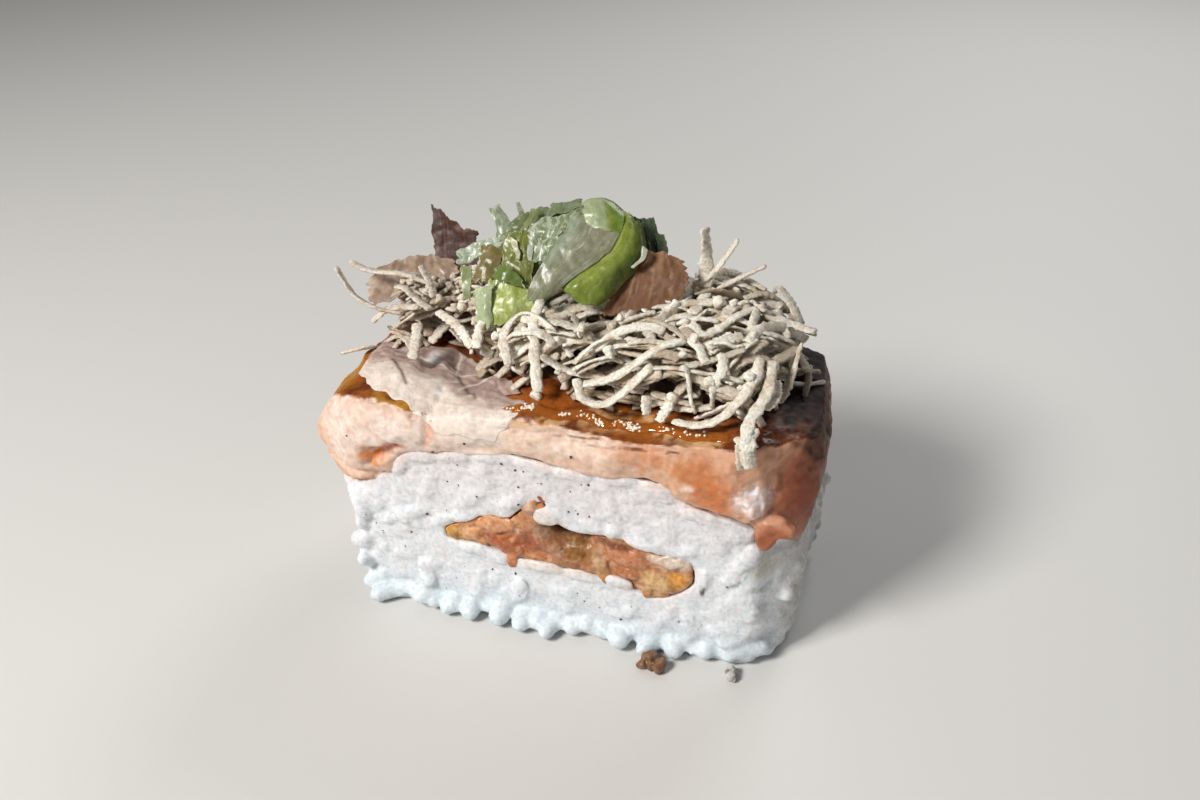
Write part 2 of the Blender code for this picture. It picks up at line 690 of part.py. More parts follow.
def make_crisp_shreds():
    """The heap: a packed core with shreds lying on it and standing out of it."""
    draw = random.Random(8)
    core = make_object("crisp_shreds", box_skin(HEAP_CELLS, heap_point), material("shreds"))
    shreds = []
    for start, middle, end in SHREDS_THAT_STAND_OUT:
        shreds.append(make_shred(rooted(bent(start, middle, end, 5))))
    index = 0
    while len(shreds) < SHRED_COUNT:
        index += 1
        points = scattered_shred(draw, index)
        if points:
            shreds.append(make_shred(points))
    fuse(core, shreds)


# The shaved dried fish and the leaves of onion: thin wavy sheets

def make_sheet(name):
    """A thin sheet between the four corners of its row in the table, bowed and rippled."""
    corners, cells, bow, ripple, finish = SHEETS[name]
    corners = [Vector(corner) * MM for corner in corners]
    normal = (corners[1] - corners[0]).cross(corners[3] - corners[0]).normalized()
    thickness = FLAKE_THICKNESS if finish == "dried_fish" else LEAF_THICKNESS
    grid = []
    for i in range(cells[0] + 1):
        u = i / cells[0]
        low = corners[0].lerp(corners[1], u)
        high = corners[3].lerp(corners[2], u)
        line = []
        for j in range(cells[1] + 1):
            v = j / cells[1]
            swell = bow * (1 - (2 * u - 1) ** 2)
            fold = ripple * math.sin(5.2 * u + 3.1 * v) * math.cos(2.3 * v + 0.4)
            line.append(low.lerp(high, v) + normal * (swell + fold) * MM)
        grid.append(line)
    make_object(name, sheet(grid, thickness), bpy.data.materials[finish])


def over_salmon_edge(x, reach, off):
    """A point off the salmon's top, reach in front of its front edge, and so down its face."""
    left, right = along(SALMON_LEFT, MM), along(SALMON_RIGHT, MM)
    points = []
    for step in (-0.8 * MM, 0.8 * MM):
        back = max(0.0, -(reach + step)) / (2 * HALF_DEPTH)
        down = max(0.0, reach + step) / SALMON_HEIGHT
        points.append(salmon_point((x - left) / (right - left), back, 1 - down, grow=off))
    return (points[0] + points[1]) / 2


def make_front_flake():
    """The big flake that lies on the salmon's left front and hangs over its edge."""
    rows, columns = FRONT_FLAKE_CELLS
    off = GAP + FLAKE_THICKNESS / 2 + 0.4 * MM
    grid = []
    for i in range(rows + 1):
        row = i * MM
        ragged = wave(0.0, row * 2.3, 0.03, 2.5 * MM, 1.4 * MM)
        line = []
        for j in range(columns + 1):
            v = j / columns
            x = blend(along(FLAKE_BACK_X, row), along(FLAKE_FRONT_X, row), v)
            reach = blend(along(FLAKE_BACK_REACH, row), along(FLAKE_FRONT_REACH, row) + ragged, v)
            lift = 0.22 * MM * (1 + math.sin(i * 1.1 + v * 4.0))
            line.append(over_salmon_edge(x, reach, off + lift))
        grid.append(line)
    make_object("flake_front", sheet(grid, FLAKE_THICKNESS), bpy.data.materials["dried_fish"])


# The onion ring and the pale flesh in it

def make_curl():
    """The bright green ring of onion, cut slanting and open towards the upper left."""
    side = CURL_ALONG.cross(CURL_OPEN).normalized()
    grid = []
    for i in range(CURL_CELLS[0] + 1):
        turn = blend(-1.6, 1.6, i / CURL_CELLS[0])
        line = []
        for j in range(CURL_CELLS[1] + 1):
            share = j / CURL_CELLS[1]
            radius = CURL_RADIUS * (0.66 + 0.34 * math.sin(math.pi * share))
            slant = 1.5 * MM * math.sin(turn) * (share - 0.5)
            place = CURL_LENGTH * (share - 0.5 + 0.1 * math.cos(turn))
            line.append(CURL_MIDDLE + CURL_ALONG * place
                        + side * (math.sin(turn) * radius + slant)
                        - CURL_OPEN * math.cos(turn) * radius * 0.75)
        grid.append(line)
    make_object("onion_curl", sheet(grid, CURL_THICKNESS), bpy.data.materials["onion_green"])


def make_curl_core():
    """The pale flesh that lies in the curl: a slightly domed oval slice."""
    side = CURL_ALONG.cross(CURL_OPEN).normalized()
    grid = []
    for i in range(CORE_CELLS[0] + 1):
        share = 0.04 + 0.92 * i / CORE_CELLS[0]
        half = CURL_RADIUS * 0.68 * math.sin(math.pi * share) ** 0.6
        line = []
        for j in range(CORE_CELLS[1] + 1):
            across = blend(-1.0, 1.0, j / CORE_CELLS[1])
            lift = 0.1 * MM + 0.5 * MM * (1 - across ** 2)
            line.append(CURL_MIDDLE + CURL_ALONG * CURL_LENGTH * (share - 0.5)
                        + side * across * half + CURL_OPEN * lift)
        grid.append(line)
    make_object("onion_core", sheet(grid, CORE_THICKNESS), bpy.data.materials["onion_pale"])


def make_garnish():
    """Every flake and every piece of spring onion on and round the heap."""
    for name in ("dried_fish", "onion_green", "onion_pale"):
        material(name)
    make_front_flake()
    make_curl()
    make_curl_core()
    for name in SHEETS:
        make_sheet(name)


def main():
    for item in list(bpy.data.objects):
        bpy.data.objects.remove(item)
    make_rice()
    make_filling()
    make_salmon()
    make_crisp_shreds()
    make_garnish()


main()
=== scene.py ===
# %% [markdown]
# # A piece of pressed salmon sushi
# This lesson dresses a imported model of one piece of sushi: a block of pressed rice round a
# filling of chopped fish, a slab of seared salmon over it, and a heap of crisp shreds with
# shaved dried fish and spring onion on top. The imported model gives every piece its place
# and size. Each cell replaces one or more of its plain solids with the real thing.

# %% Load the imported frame
import math
import random

import bmesh
import bpy
import numpy as np
from mathutils import Matrix, Vector, noise
from mathutils.bvhtree import BVHTree


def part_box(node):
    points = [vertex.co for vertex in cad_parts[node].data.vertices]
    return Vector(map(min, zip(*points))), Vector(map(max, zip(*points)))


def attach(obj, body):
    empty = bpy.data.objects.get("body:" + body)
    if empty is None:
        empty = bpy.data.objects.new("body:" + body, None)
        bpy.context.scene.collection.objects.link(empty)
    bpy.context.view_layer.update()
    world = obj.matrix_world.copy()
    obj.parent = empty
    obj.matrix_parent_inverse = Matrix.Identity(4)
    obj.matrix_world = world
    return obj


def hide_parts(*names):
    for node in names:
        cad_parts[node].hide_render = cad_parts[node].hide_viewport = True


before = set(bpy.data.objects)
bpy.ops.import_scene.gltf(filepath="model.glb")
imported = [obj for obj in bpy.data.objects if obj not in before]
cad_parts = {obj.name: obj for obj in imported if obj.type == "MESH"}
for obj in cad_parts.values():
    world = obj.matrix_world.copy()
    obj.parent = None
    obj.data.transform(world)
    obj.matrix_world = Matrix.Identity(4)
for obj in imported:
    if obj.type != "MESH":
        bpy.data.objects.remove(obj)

MM = 0.001
# Vector noise starts from the clock unless it gets a seed, and then no run is like another.
noise.seed_set(3)
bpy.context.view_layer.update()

# %% [markdown]
# ## The camera
# The photo was taken from a little to the right of the cut face and from above. Its view
# was solved from the block's corners, so the camera is placed by two angles, a small roll
# and a distance. A camera could also be turned by hand until the edges agree, but angles
# that are worked out once stay right. The focal length goes with a frame 36 mm wide.

# %% Camera
AZIMUTH = math.radians(18.9)
ELEVATION = math.radians(33.0)
ROLL = math.radians(-2.5)
DISTANCE = 129 * MM
LOOKED_AT = Vector((2.4, -1.0, 26.2)) * MM
FOCAL_LENGTH = 33.0
FRAME_WIDTH = 36.0


def add_object(name, data):
    """A new object in the scene, with its data."""
    made = bpy.data.objects.new(name, data)
    bpy.context.scene.collection.objects.link(made)
    return made


def place_camera():
    """The scene's camera, with its roll."""
    flat = math.cos(ELEVATION)
    back = Vector((math.sin(AZIMUTH) * flat, -math.cos(AZIMUTH) * flat, math.sin(ELEVATION)))
    right = (-back).cross(Vector((0, 0, 1))).normalized()
    turn = Matrix.Rotation(ROLL, 3, back)
    right = turn @ right
    up = back.cross(right)
    camera = add_object("camera", bpy.data.cameras.new("camera"))
    camera.data.lens = FOCAL_LENGTH
    camera.data.sensor_width = FRAME_WIDTH
    camera.data.clip_start = 1 * MM
    turned = Matrix((right, up, back)).transposed().to_4x4()
    camera.matrix_world = Matrix.Translation(LOOKED_AT + back * DISTANCE) @ turned
    bpy.context.scene.camera = camera
    return camera


camera = place_camera()
print("camera at", [round(value / MM, 1) for value in camera.location], "mm")

# %% [markdown]
# ## Helpers for materials
# Colours are written as sRGB hex values, as a picker in a paint program shows them, and one
# function turns them to the linear values that the shader wants. One small function adds a
# node, sets it up and links it, so that a material reads as a short list of steps.

# %% Colours and nodes
SHADER = "Principled BSDF"


def linear(code):
    """An sRGB hex colour as linear red, green, blue and alpha."""
    parts = [int(code[start:start + 2], 16) / 255 for start in (1, 3, 5)]
    return [part / 12.92 if part < 0.04045 else ((part + 0.055) / 1.055) ** 2.4
            for part in parts] + [1.0]


def add(material, kind, inputs=(), **settings):
    """A new node with its settings, and with its inputs set to values or linked."""
    node = material.node_tree.nodes.new(kind)
    for name, value in settings.items():
        setattr(node, name, value)
    for name, value in dict(inputs).items():
        if isinstance(value, bpy.types.NodeSocket):
            material.node_tree.links.new(value, node.inputs[name])
        else:
            node.inputs[name].default_value = value
    return node


def new_material(name, colour=None, **sockets):
    """A material whose shader gets a hex colour and these values on its own sockets."""
    material = bpy.data.materials.new(name)
    material.use_nodes = True
    inputs = material.node_tree.nodes[SHADER].inputs
    if colour:
        inputs["Base Color"].default_value = linear(colour)
    for socket, value in sockets.items():
        inputs[socket.replace("_", " ")].default_value = value
    return material


def ramp(material, value, *stops):
    """A colour ramp over (place, hex colour) stops, read by a value."""
    node = add(material, "ShaderNodeValToRGB", {"Fac": value})
    for i, (place, code) in enumerate(stops):
        stop = node.color_ramp.elements[i] if i < 2 else node.color_ramp.elements.new(place)
        stop.position = place
        stop.color = linear(code)
    return node.outputs["Color"]


# %% [markdown]
# Moist food is a little see-through, has a fine grain of cells or fibres, and shines where
# it is wet. One function makes that finish for each food. The colours are painted on the
# vertices, because they follow the pieces and not a pattern, and the grain is a noise. The
# real grain is often finer than the picture can show, so it is drawn as coarse as it needs
# to be seen.

# %% The frame of every food material
def food_material(name, grain, shade, rough, relief, scatter, depth, **sockets):
    """Painted colours under a fine grain, which also breaks up the gloss and the surface.

    grain is the size of the grain in mm, shade its darkest colour, rough the range of
    roughness, relief the height of the grain in mm, and scatter and depth say how far
    light goes in: its share for red, green and blue, and the depth in mm.
    """
    material = new_material(name, Subsurface_Radius=scatter, Subsurface_Scale=depth * MM,
                            **sockets)
    tint = add(material, "ShaderNodeAttribute", attribute_name="tint")
    where = add(material, "ShaderNodeTexCoord")
    fine = add(material, "ShaderNodeTexNoise", {"Vector": where.outputs["Object"],
                                                "Scale": 1 / (grain * MM), "Detail": 5.0})
    shaded = ramp(material, fine.outputs["Fac"], (0.3, shade), (0.6, "#ffffff"))
    colour = add(material, "ShaderNodeMix", {"Factor": 1.0, "A": tint.outputs["Color"],
                                             "B": shaded},
                 data_type="RGBA", blend_type="MULTIPLY")
    gloss = add(material, "ShaderNodeMapRange", {"Value": fine.outputs["Fac"],
                                                 "To Min": rough[0], "To Max": rough[1]})
    dull = add(material, "ShaderNodeMapRange", {"Value": tint.outputs["Alpha"],
                                                "To Min": 0.5, "To Max": 0.0})
    total = add(material, "ShaderNodeMath", {0: gloss.outputs["Result"],
                                             1: dull.outputs["Result"]}, use_clamp=True)
    bumps = add(material, "ShaderNodeBump", {"Height": fine.outputs["Fac"],
                                             "Strength": 0.5, "Distance": relief * MM})
    inputs = material.node_tree.nodes[SHADER].inputs
    for made, socket in ((colour.outputs["Result"], "Base Color"),
                         (total.outputs["Value"], "Roughness"),
                         (bumps.outputs["Normal"], "Normal")):
        material.node_tree.links.new(made, inputs[socket])
    return material


# %% [markdown]
# ## Helpers for shapes
# Cooked food has no hard edges: grains stick together and cut surfaces smear. So most
# pieces here are made from many closed shapes that overlap, and a voxel remesh then draws
# one even skin round them all. After that the vertices are pushed about in arrays, which
# works like a sculpting brush with a rule.

# %% Skins, places and directions
def copy_of_node(name):
    """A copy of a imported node's mesh, with its loose triangles merged."""
    bm = bmesh.new()
    bm.from_mesh(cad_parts[name].data)
    bmesh.ops.remove_doubles(bm, verts=bm.verts, dist=0.001 * MM)
    return bm


def as_object(name, bm):
    """A new object that holds a bmesh."""
    mesh = bpy.data.meshes.new(name)
    bm.to_mesh(mesh)
    bm.free()
    return add_object(name, mesh)


def tree_of(name):
    """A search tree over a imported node's surface."""
    bm = copy_of_node(name)
    tree = BVHTree.FromBMesh(bm)
    bm.free()
    return tree


def surface_of(piece):
    """A search tree over a finished piece's surface."""
    return BVHTree.FromObject(piece, bpy.context.evaluated_depsgraph_get())


def apply_modifiers(piece):
    """Gives a piece the mesh that its modifiers make, and removes them."""
    seen = piece.evaluated_get(bpy.context.evaluated_depsgraph_get())
    mesh = bpy.data.meshes.new_from_object(seen)
    piece.modifiers.clear()
    piece.data = mesh
    mesh.name = piece.name


def soften(piece, passes):
    """Smooths a piece some times over."""
    smooth = piece.modifiers.new("soften", "SMOOTH")
    smooth.factor = 0.5
    smooth.iterations = passes


def one_skin(piece, voxel, passes, keep=1.0):
    """Draws one even closed skin, of cells voxel mm wide, round a piece, and smooths it."""
    remesh = piece.modifiers.new("remesh", "REMESH")
    remesh.mode = "VOXEL"
    remesh.voxel_size = voxel * MM
    soften(piece, passes)
    if keep < 1:
        piece.modifiers.new("thin", "DECIMATE").ratio = keep
    apply_modifiers(piece)


def places(mesh):
    """The places of a mesh's vertices as an array in millimetres."""
    flat = np.empty(len(mesh.vertices) * 3)
    mesh.vertices.foreach_get("co", flat)
    return flat.reshape(-1, 3) / MM


def directions(mesh):
    """The directions in which a mesh's vertices face, as an array."""
    flat = np.empty(len(mesh.vertices) * 3)
    mesh.vertices.foreach_get("normal", flat)
    return flat.reshape(-1, 3)


def move_to(mesh, co):
    """Puts a mesh's vertices at places in millimetres."""
    mesh.vertices.foreach_set("co", (co * MM).ravel())
    mesh.update()


def lumps(co, size, octaves=1):
    """Random heights from about -1 to 1 over places, with bumps about size mm wide."""
    return np.array([noise.fractal(Vector(place) / size, 1.0, 2.0, octaves) for place in co])


def shifts(co, size):
    """Random shifts about 1 long, which change over about size mm."""
    return np.array([noise.noise_vector(Vector(place) / size) for place in co])


def patch(co, centre, reach):
    """How much of a soft patch each place gets: 1 at its centre, 0 well past its reach."""
    apart = (co - np.array(centre)) / np.array(reach)
    return np.exp(-(apart ** 2).sum(1) ** 2)


def step_up(value, low, high):
    """0 below low, 1 above high, and smooth between."""
    share = np.clip((value - low) / (high - low), 0, 1)
    return share * share * (3 - 2 * share)


def plain(code, co):
    """One hex colour for each place."""
    return np.tile(linear(code)[:3], (len(co), 1))


def tinted(colours, *layers):
    """Colours drawn towards one hex colour after another, each by its own share."""
    for code, share in layers:
        colours = colours + (np.array(linear(code)[:3]) - colours) * share[:, None]
    return colours


def patch_layers(co, patches, strength=0.9):
    """Layers of colour for patches, each with its centre, its reach and its hex colour."""
    return [(code, patch(co, centre, reach) * strength) for centre, reach, code in patches]


def cut_layers(co, patches, y, deep, strength):
    """The same for patches that are given across and up on the cut at y."""
    solid = [((x, y, z), (wide, deep, high), code) for (x, z), (wide, high), code in patches]
    return patch_layers(co, solid, strength)


def paint(mesh, colours, wet=1.0):
    """Stores a colour and a wetness for each vertex, read by the name tint."""
    layer = mesh.color_attributes.new("tint", "FLOAT_COLOR", "POINT")
    wetness = np.broadcast_to(np.asarray(wet, float), len(colours))
    full = np.column_stack([np.clip(colours, 0, 1), np.clip(wetness, 0, 1)])
    layer.data.foreach_set("color", full.ravel())


def finish(piece, material, slot, *nodes):
    """Gives a piece its finish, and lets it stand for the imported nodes."""
    piece.data.materials.clear()
    piece.data.materials.append(material)
    piece.data.shade_smooth()
    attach(piece, "root")
    if nodes:
        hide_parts(*nodes)
    piece.data.calc_loop_triangles()
    print(piece.name, len(piece.data.loop_triangles), "triangles")


# %% [markdown]
# ## The floor and the light
# The piece stands on a plain pale floor. A soft light about twice as wide as the food, from
# the front left and above the camera, models the cut face as in the photo. A weak one from
# the right keeps that side darker, and one from behind draws a rim on the shreds and the
# onion. The Standard view shows whites and strong colours as they are, without softening.

# %% Floor
def make_floor():
    """A wide floor that ends far behind the food."""
    bm = bmesh.new()
    bmesh.ops.create_grid(bm, x_segments=4, y_segments=4, size=1.5)
    floor = as_object("floor", bm)
    floor.data.materials.append(new_material("pale_floor", "#d8d6d2", Roughness=0.55))


make_floor()


# %% Soft light
MIDDLE = Vector((0, 0, 25)) * MM


def add_light(name, place, size, power, colour):
    """A square soft light that looks at the middle of the food."""
    light = bpy.data.lights.new(name, "AREA")
    light.size = size
    light.energy = power
    light.color = linear(colour)[:3]
    lamp = add_object(name, light)
    lamp.location = place
    lamp.rotation_euler = (MIDDLE - Vector(place)).to_track_quat("-Z", "Y").to_euler()


add_light("key", (-0.21, -0.28, 0.34), 0.13, 2.45, "#fffdfa")
add_light("fill", (0.34, -0.22, 0.20), 0.30, 0.08, "#f2f6ff")
add_light("rim", (0.10, 0.32, 0.26), 0.18, 0.55, "#ffffff")
world = bpy.data.worlds.new("studio")
bpy.context.scene.world = world
world.use_nodes = True
background = world.node_tree.nodes["Background"].inputs
background["Color"].default_value = linear("#e8ebee")
background["Strength"].default_value = 0.12
bpy.context.scene.view_settings.view_transform = "Standard"
print("three soft lights")

# %% [markdown]
# ## Rice
# Short-grain rice is cooked sticky, seasoned and pressed in a box, so the outer grains lie
# flat and melt into each other, and a wet knife smears the ones that it cuts. The grains
# could be separate meshes, but then each would show a hard outline. Here real-sized grains
# are laid into the block's two short sides and its corners, and one skin is drawn round
# block and grains together. On the front and back cuts the grains are flat, so there each
# one is a low dome that is pressed into the skin, with shallow seams between and places
# that are smeared.

# %% Grains laid into the walls
GRAIN_LENGTH = 5.4
GRAIN_WIDTH = 2.5
WALL_TRIES = 9000
GRAIN_SPACING = 1.6
CUT_HALF = 25
CLEAR_OF_FILLING = 1.1 * MM
CLEAR_OF_SALMON = 1.2 * MM
CLEAR_AT_CORNER = 4.8 * MM


def add_grain(bm, centre, outward, heading, length, width, thickness):
    """One grain of cooked rice: long, with blunt ends, and a little flattened."""
    side = outward.cross(heading).normalized()
    heading = side.cross(outward).normalized()
    for vert in bmesh.ops.create_icosphere(bm, subdivisions=2, radius=1.0)["verts"]:
        x, y, z = vert.co
        along = z * width / 2 + max(-1.0, min(1.0, z / 0.6)) * (length - width) / 2
        place = centre + side * x * width / 2 + outward * y * thickness / 2 + heading * along
        vert.co = place * MM


def wall_points(mesh, count, draw):
    """Points spread evenly over a mesh's faces by area: (place in mm, direction)."""
    mesh.calc_loop_triangles()
    corners = places(mesh)[[list(face.vertices) for face in mesh.loop_triangles]]
    across = np.cross(corners[:, 1] - corners[:, 0], corners[:, 2] - corners[:, 0])
    areas = np.linalg.norm(across, axis=1)
    chosen = draw.choice(len(areas), count, p=areas / areas.sum())
    first = draw.random(count)
    second = draw.random(count)
    over = first + second > 1
    first[over] = 1 - first[over]
    second[over] = 1 - second[over]
    base = corners[chosen]
    spots = (base[:, 0] + first[:, None] * (base[:, 1] - base[:, 0])
             + second[:, None] * (base[:, 2] - base[:, 0]))
    return zip(spots, across[chosen] / areas[chosen, None])


def far_enough(spot, kept, apart):
    """Whether a spot lies at least apart from those kept so far."""
    return not kept or np.min(np.linalg.norm(np.array(kept) - spot, axis=1)) > apart


def lay_grains(bm, block, filling, salmon, draw):
    """Grains over the block's short sides and corners, clear of its cuts and the fish."""
    kept = []
    for spot, outward in wall_points(block, WALL_TRIES, draw):
        x, y, z = spot
        centre = Vector(spot) * MM
        level_or_inside = abs(outward[2]) > 0.55 or abs(y) < 12 and abs(x) < 22
        on_cut = abs(outward[1]) > 0.9 and abs(x) < CUT_HALF
        by_filling = filling.find_nearest(centre)[3] < CLEAR_OF_FILLING
        clear = CLEAR_AT_CORNER if x > 20 else CLEAR_OF_SALMON
        by_salmon = salmon.find_nearest(centre)[3] < clear
        if level_or_inside or on_cut or by_filling or by_salmon or z < 1.2:
            continue
        if not far_enough(spot, kept, GRAIN_SPACING):
            continue
        kept.append(spot)
        outward = Vector((outward[0], outward[1], 0)).normalized()
        sunk = draw.uniform(0.65, 0.95)
        turn = draw.uniform(-1.3, 1.3)
        level = outward.cross(Vector((0, 0, 1)))
        heading = level * math.cos(turn) + Vector((0, 0, 1)) * math.sin(turn)
        length = GRAIN_LENGTH * draw.uniform(0.8, 1.1)
        width = GRAIN_WIDTH * draw.uniform(0.85, 1.1)
        if z < length / 2 * abs(math.sin(turn)) + width / 2:
            heading = level
        add_grain(bm, Vector(spot) - outward * sunk, outward, heading, length, width, 2.3)
    return len(kept)


# %% Grains pressed flat in the cut
CUT_TRIES = 4000
CUT_SPACING = 1.55


def pressed_grains(co):
    """How high a pressed grain stands at each place of a cut: 1 on top, less in seams."""
    draw = np.random.default_rng(12)
    flat = (co + shifts(co, 1.4) * 0.3)[:, [0, 2]]
    height = np.full(len(co), -1.0)
    kept = []
    for spot in draw.uniform((-28, 0), (29, 27), (CUT_TRIES, 2)):
        if not far_enough(spot, kept, CUT_SPACING):
            continue
        kept.append(spot)
        turn = draw.normal(0.15, 0.7)
        ahead = np.array((math.cos(turn), math.sin(turn)))
        near = np.flatnonzero(np.abs(flat - spot).max(1) < 3.2)
        apart = flat[near] - spot
        along = apart @ ahead / draw.uniform(1.9, 2.8)
        across = apart @ (-ahead[1], ahead[0]) / draw.uniform(0.95, 1.25)
        height[near] = np.maximum(height[near], 1 - along ** 2 - across ** 2)
    return np.clip(height, -0.4, 1)


# %% Grains placed one by one
EDGE_GRAINS = ((-24.2, 0.1), (-21.6, 0.5), (-18.8, 0.8), (-16.3, 1.2), (-13.6, 1.6),
               (-10.7, 2.0), (-7.5, 2.1), (-4.8, 2.2), (-2.2, 1.5), (0.2, 0.8), (2.3, 1.1),
               (5.0, 0.6), (8.2, 1.9), (11.3, 0.9), (14.9, 1.6), (18.2, 0.8), (21.2, 0.5))
RIM_GRAINS = (
    ((-0.5, 17.5), 3.6, 2.6, 0.2), ((4.9, 17.3), 3.6, 1.9, -0.3), ((7.3, 16.9), 2.2, 1.8, 0.9),
    ((10.9, 16.0), 4.4, 1.9, -0.2), ((15.4, 15.9), 4.0, 1.8, 0.1), ((17.9, 12.6), 3.0, 1.8, 1.3),
    ((-4.6, 18.9), 4.4, 2.2, 0.7), ((-10.9, 15.6), 4.0, 2.0, 0.5), ((-13.9, 14.4), 3.0, 1.6, 0.5),
    ((-10.2, 10.8), 4.4, 1.8, 0.0), ((-7.4, 10.0), 3.2, 1.8, -0.5), ((-1.6, 9.7), 5.4, 1.9, 0.0),
    ((3.2, 9.5), 4.0, 1.8, -0.1), ((7.9, 9.6), 3.4, 1.6, -0.2), ((1.2, 19.6), 3.8, 2.2, -0.9),
    ((-18.4, 21.6), 3.6, 2.0, 1.0), ((-15.6, 23.3), 4.4, 2.0, 0.1), ((-11.4, 24.0), 4.6, 1.8, 0.2),
    ((-6.4, 24.8), 4.8, 1.8, 0.1), ((-1.6, 24.5), 4.6, 1.8, -0.1), ((3.0, 24.2), 4.8, 1.8, 0.0),
    ((8.0, 24.4), 4.6, 1.8, 0.1), ((12.6, 23.6), 4.2, 1.8, -0.5), ((17.2, 21.3), 4.8, 1.8, -0.2),
)


def lay_placed_grains(bm, draw):
    """Grain ends that stick out under the cut, and grains by the filling and the salmon."""
    for x, reach in EDGE_GRAINS:
        outward = Vector((draw.uniform(-0.45, 0.45), -1, 0.0)).normalized()
        width = draw.uniform(2.5, 3.1)
        centre = Vector((x, -13.4 - reach, width / 2)) - outward * 2.4
        add_grain(bm, centre, Vector((0, 0, 1)), outward, 5.0, width, width * 0.9)
    front = Vector((0, -1, 0))
    for (x, z), length, width, turn in RIM_GRAINS:
        heading = Vector((math.cos(turn), 0, math.sin(turn)))
        add_grain(bm, Vector((x, -12.8, z)), front, heading, length, width, 2.6)


CUTS = ((-1, 13.0), (1, 12.6))


def make_rice():
    """The block with its grains as one skin, with its flat base kept flat."""
    draw = np.random.default_rng(3)
    bm = copy_of_node("rice")
    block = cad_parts["rice"].data
    count = lay_grains(bm, block, tree_of("filling"), tree_of("salmon"), draw)
    lay_placed_grains(bm, draw)
    piece = as_object("rice_block", bm)
    one_skin(piece, 0.29, 5, keep=0.8)
    co = places(piece.data)
    facing = directions(piece.data)
    co = co + facing * (lumps(co, 0.9, 2) * 0.04)[:, None]
    smeared = 0.4 + 0.6 * step_up(lumps(co + 30, 5.0, 2), -0.3, 0.4)
    domes = pressed_grains(co) * 0.2 * smeared
    domes += lumps(co + 8, 0.45, 3) * 0.08
    for side, face in CUTS:
        out = co[:, 1] * side
        cut = step_up(out, face - 1.8, face - 0.8) * step_up(25.5 - np.abs(co[:, 0]), 0.0, 3.0)
        cut *= step_up(co[:, 2], 2.2, 5.5)
        even = face + (out - face) * 0.4
        co[:, 1] += side * (even + domes - out) * cut
    co[:, 2] = np.maximum(co[:, 2], 0.0)
    move_to(piece.data, co)
    print("rice:", count, "grains")
    return piece


rice = make_rice()

# %% [markdown]
# Cooked rice is white and a little see-through: light goes some way into a grain and comes
# out softened. That is subsurface scattering with a radius near a millimetre. Close to the
# salmon and to the filling the grains have taken up their juices, so they are warmer there.
# Shade is painted in too: a faint blue low down, a cool grey in the seams between grains,
# a darker right side and a dark spot in a hole at the right corner.

# %% Cooked rice
def gaps_to(name, co):
    """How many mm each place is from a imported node's surface."""
    tree = tree_of(name)
    return np.array([tree.find_nearest(Vector(place) * MM)[3] for place in co]) / MM


def rice_tint(mesh):
    """Colours of the rice: warm by the salmon and the filling, with painted shade cool at the
    base, in the seams of the cut, on the right side and in a hole at its corner.
    """
    co = places(mesh)
    on_cut = step_up(np.abs(directions(mesh)[:, 1]), 0.3, 0.9)
    # The seams between pressed grains on the cut get painted shade, a cool grey.
    seam = step_up(-pressed_grains(co), -0.45, 0.1) * on_cut
    mottle = lumps(co + 40, 1.1, 3)
    co = co + shifts(co, 3.0) * 0.9
    return tinted(
        plain("#eceef0", co),
        ("#d5dde2", seam * 0.4),
        ("#e9e0dd", step_up(mottle, 0.1, 0.5) * 0.5),
        ("#d9e1e3", step_up(-mottle, 0.15, 0.5) * 0.5),
        # Painted shade: a faint cool blue low down, towards the base.
        ("#d9e6ec", step_up(-co[:, 2], -8, 0) * 0.8),
        ("#e6dfdf", step_up(co[:, 2], 14, 22) * 0.7),
        ("#e3c9b3", step_up(-gaps_to("filling", co), -1.0, 0.1) * 0.6),
        ("#e8d3c8", step_up(-gaps_to("salmon", co), -1.4, 0.2) * 0.6),
        ("#cdc6ae", patch(co, (25.0, -12.6, 14.4), (2.2, 4, 1.2)) * 0.6),
        # Painted shade: the right side is darkened, and a dark brown spot stands for the shade in
        # a hole at the right corner.
        ("#b3aca2", step_up(co[:, 0], 25.0, 28.0) * 0.6),
        ("#4d3a28", patch(co, (27.2, -12.4, 14.8), (0.5, 2.5, 0.6))),
        ("#3d2b1e", patch(co, (18.1, -13.2, 10.2), (0.22, 1.5, 0.9))))


paint(rice.data, rice_tint(rice.data))
cooked_rice = food_material("cooked_rice", 0.5, "#e8e9ea", (0.12, 0.5), 0.2,
                            (1.0, 0.93, 0.85), 1.1, Subsurface_Weight=0.45, IOR=1.38)
finish(rice, cooked_rice, "rice", "rice")

# %% [markdown]
# ## The filling
# Cooked fish is chopped, mixed with a thick sauce and laid along the middle of the rice. At
# the cut it shows as moist chunks of different colours: ochre at the left tip, orange flesh,
# a hollow under the rice, a pale piece and a yellow one at the right. The hollow and a thin
# band under the rice's edge are painted very dark brown as shade. The chunks are flattened
# blobs laid over both ends of the imported filling, and one skin joins them.

# %% Chunks of fish
def add_chunk(bm, centre, sizes, turn):
    """A lumpy piece of chopped fish: sizes across, deep and high in mm, turned in the cut."""
    shape = Matrix.Rotation(turn, 4, "Y") @ Matrix.Diagonal((*sizes, 1.0))
    place = Matrix.Translation(Vector(centre) * MM) @ Matrix.Scale(MM / 2, 4) @ shape
    made = bmesh.ops.create_icosphere(bm, subdivisions=3, radius=1.0, matrix=place)
    for vert in made["verts"]:
        vert.co += noise.noise_vector(vert.co / (1.3 * MM)) * 0.35 * MM


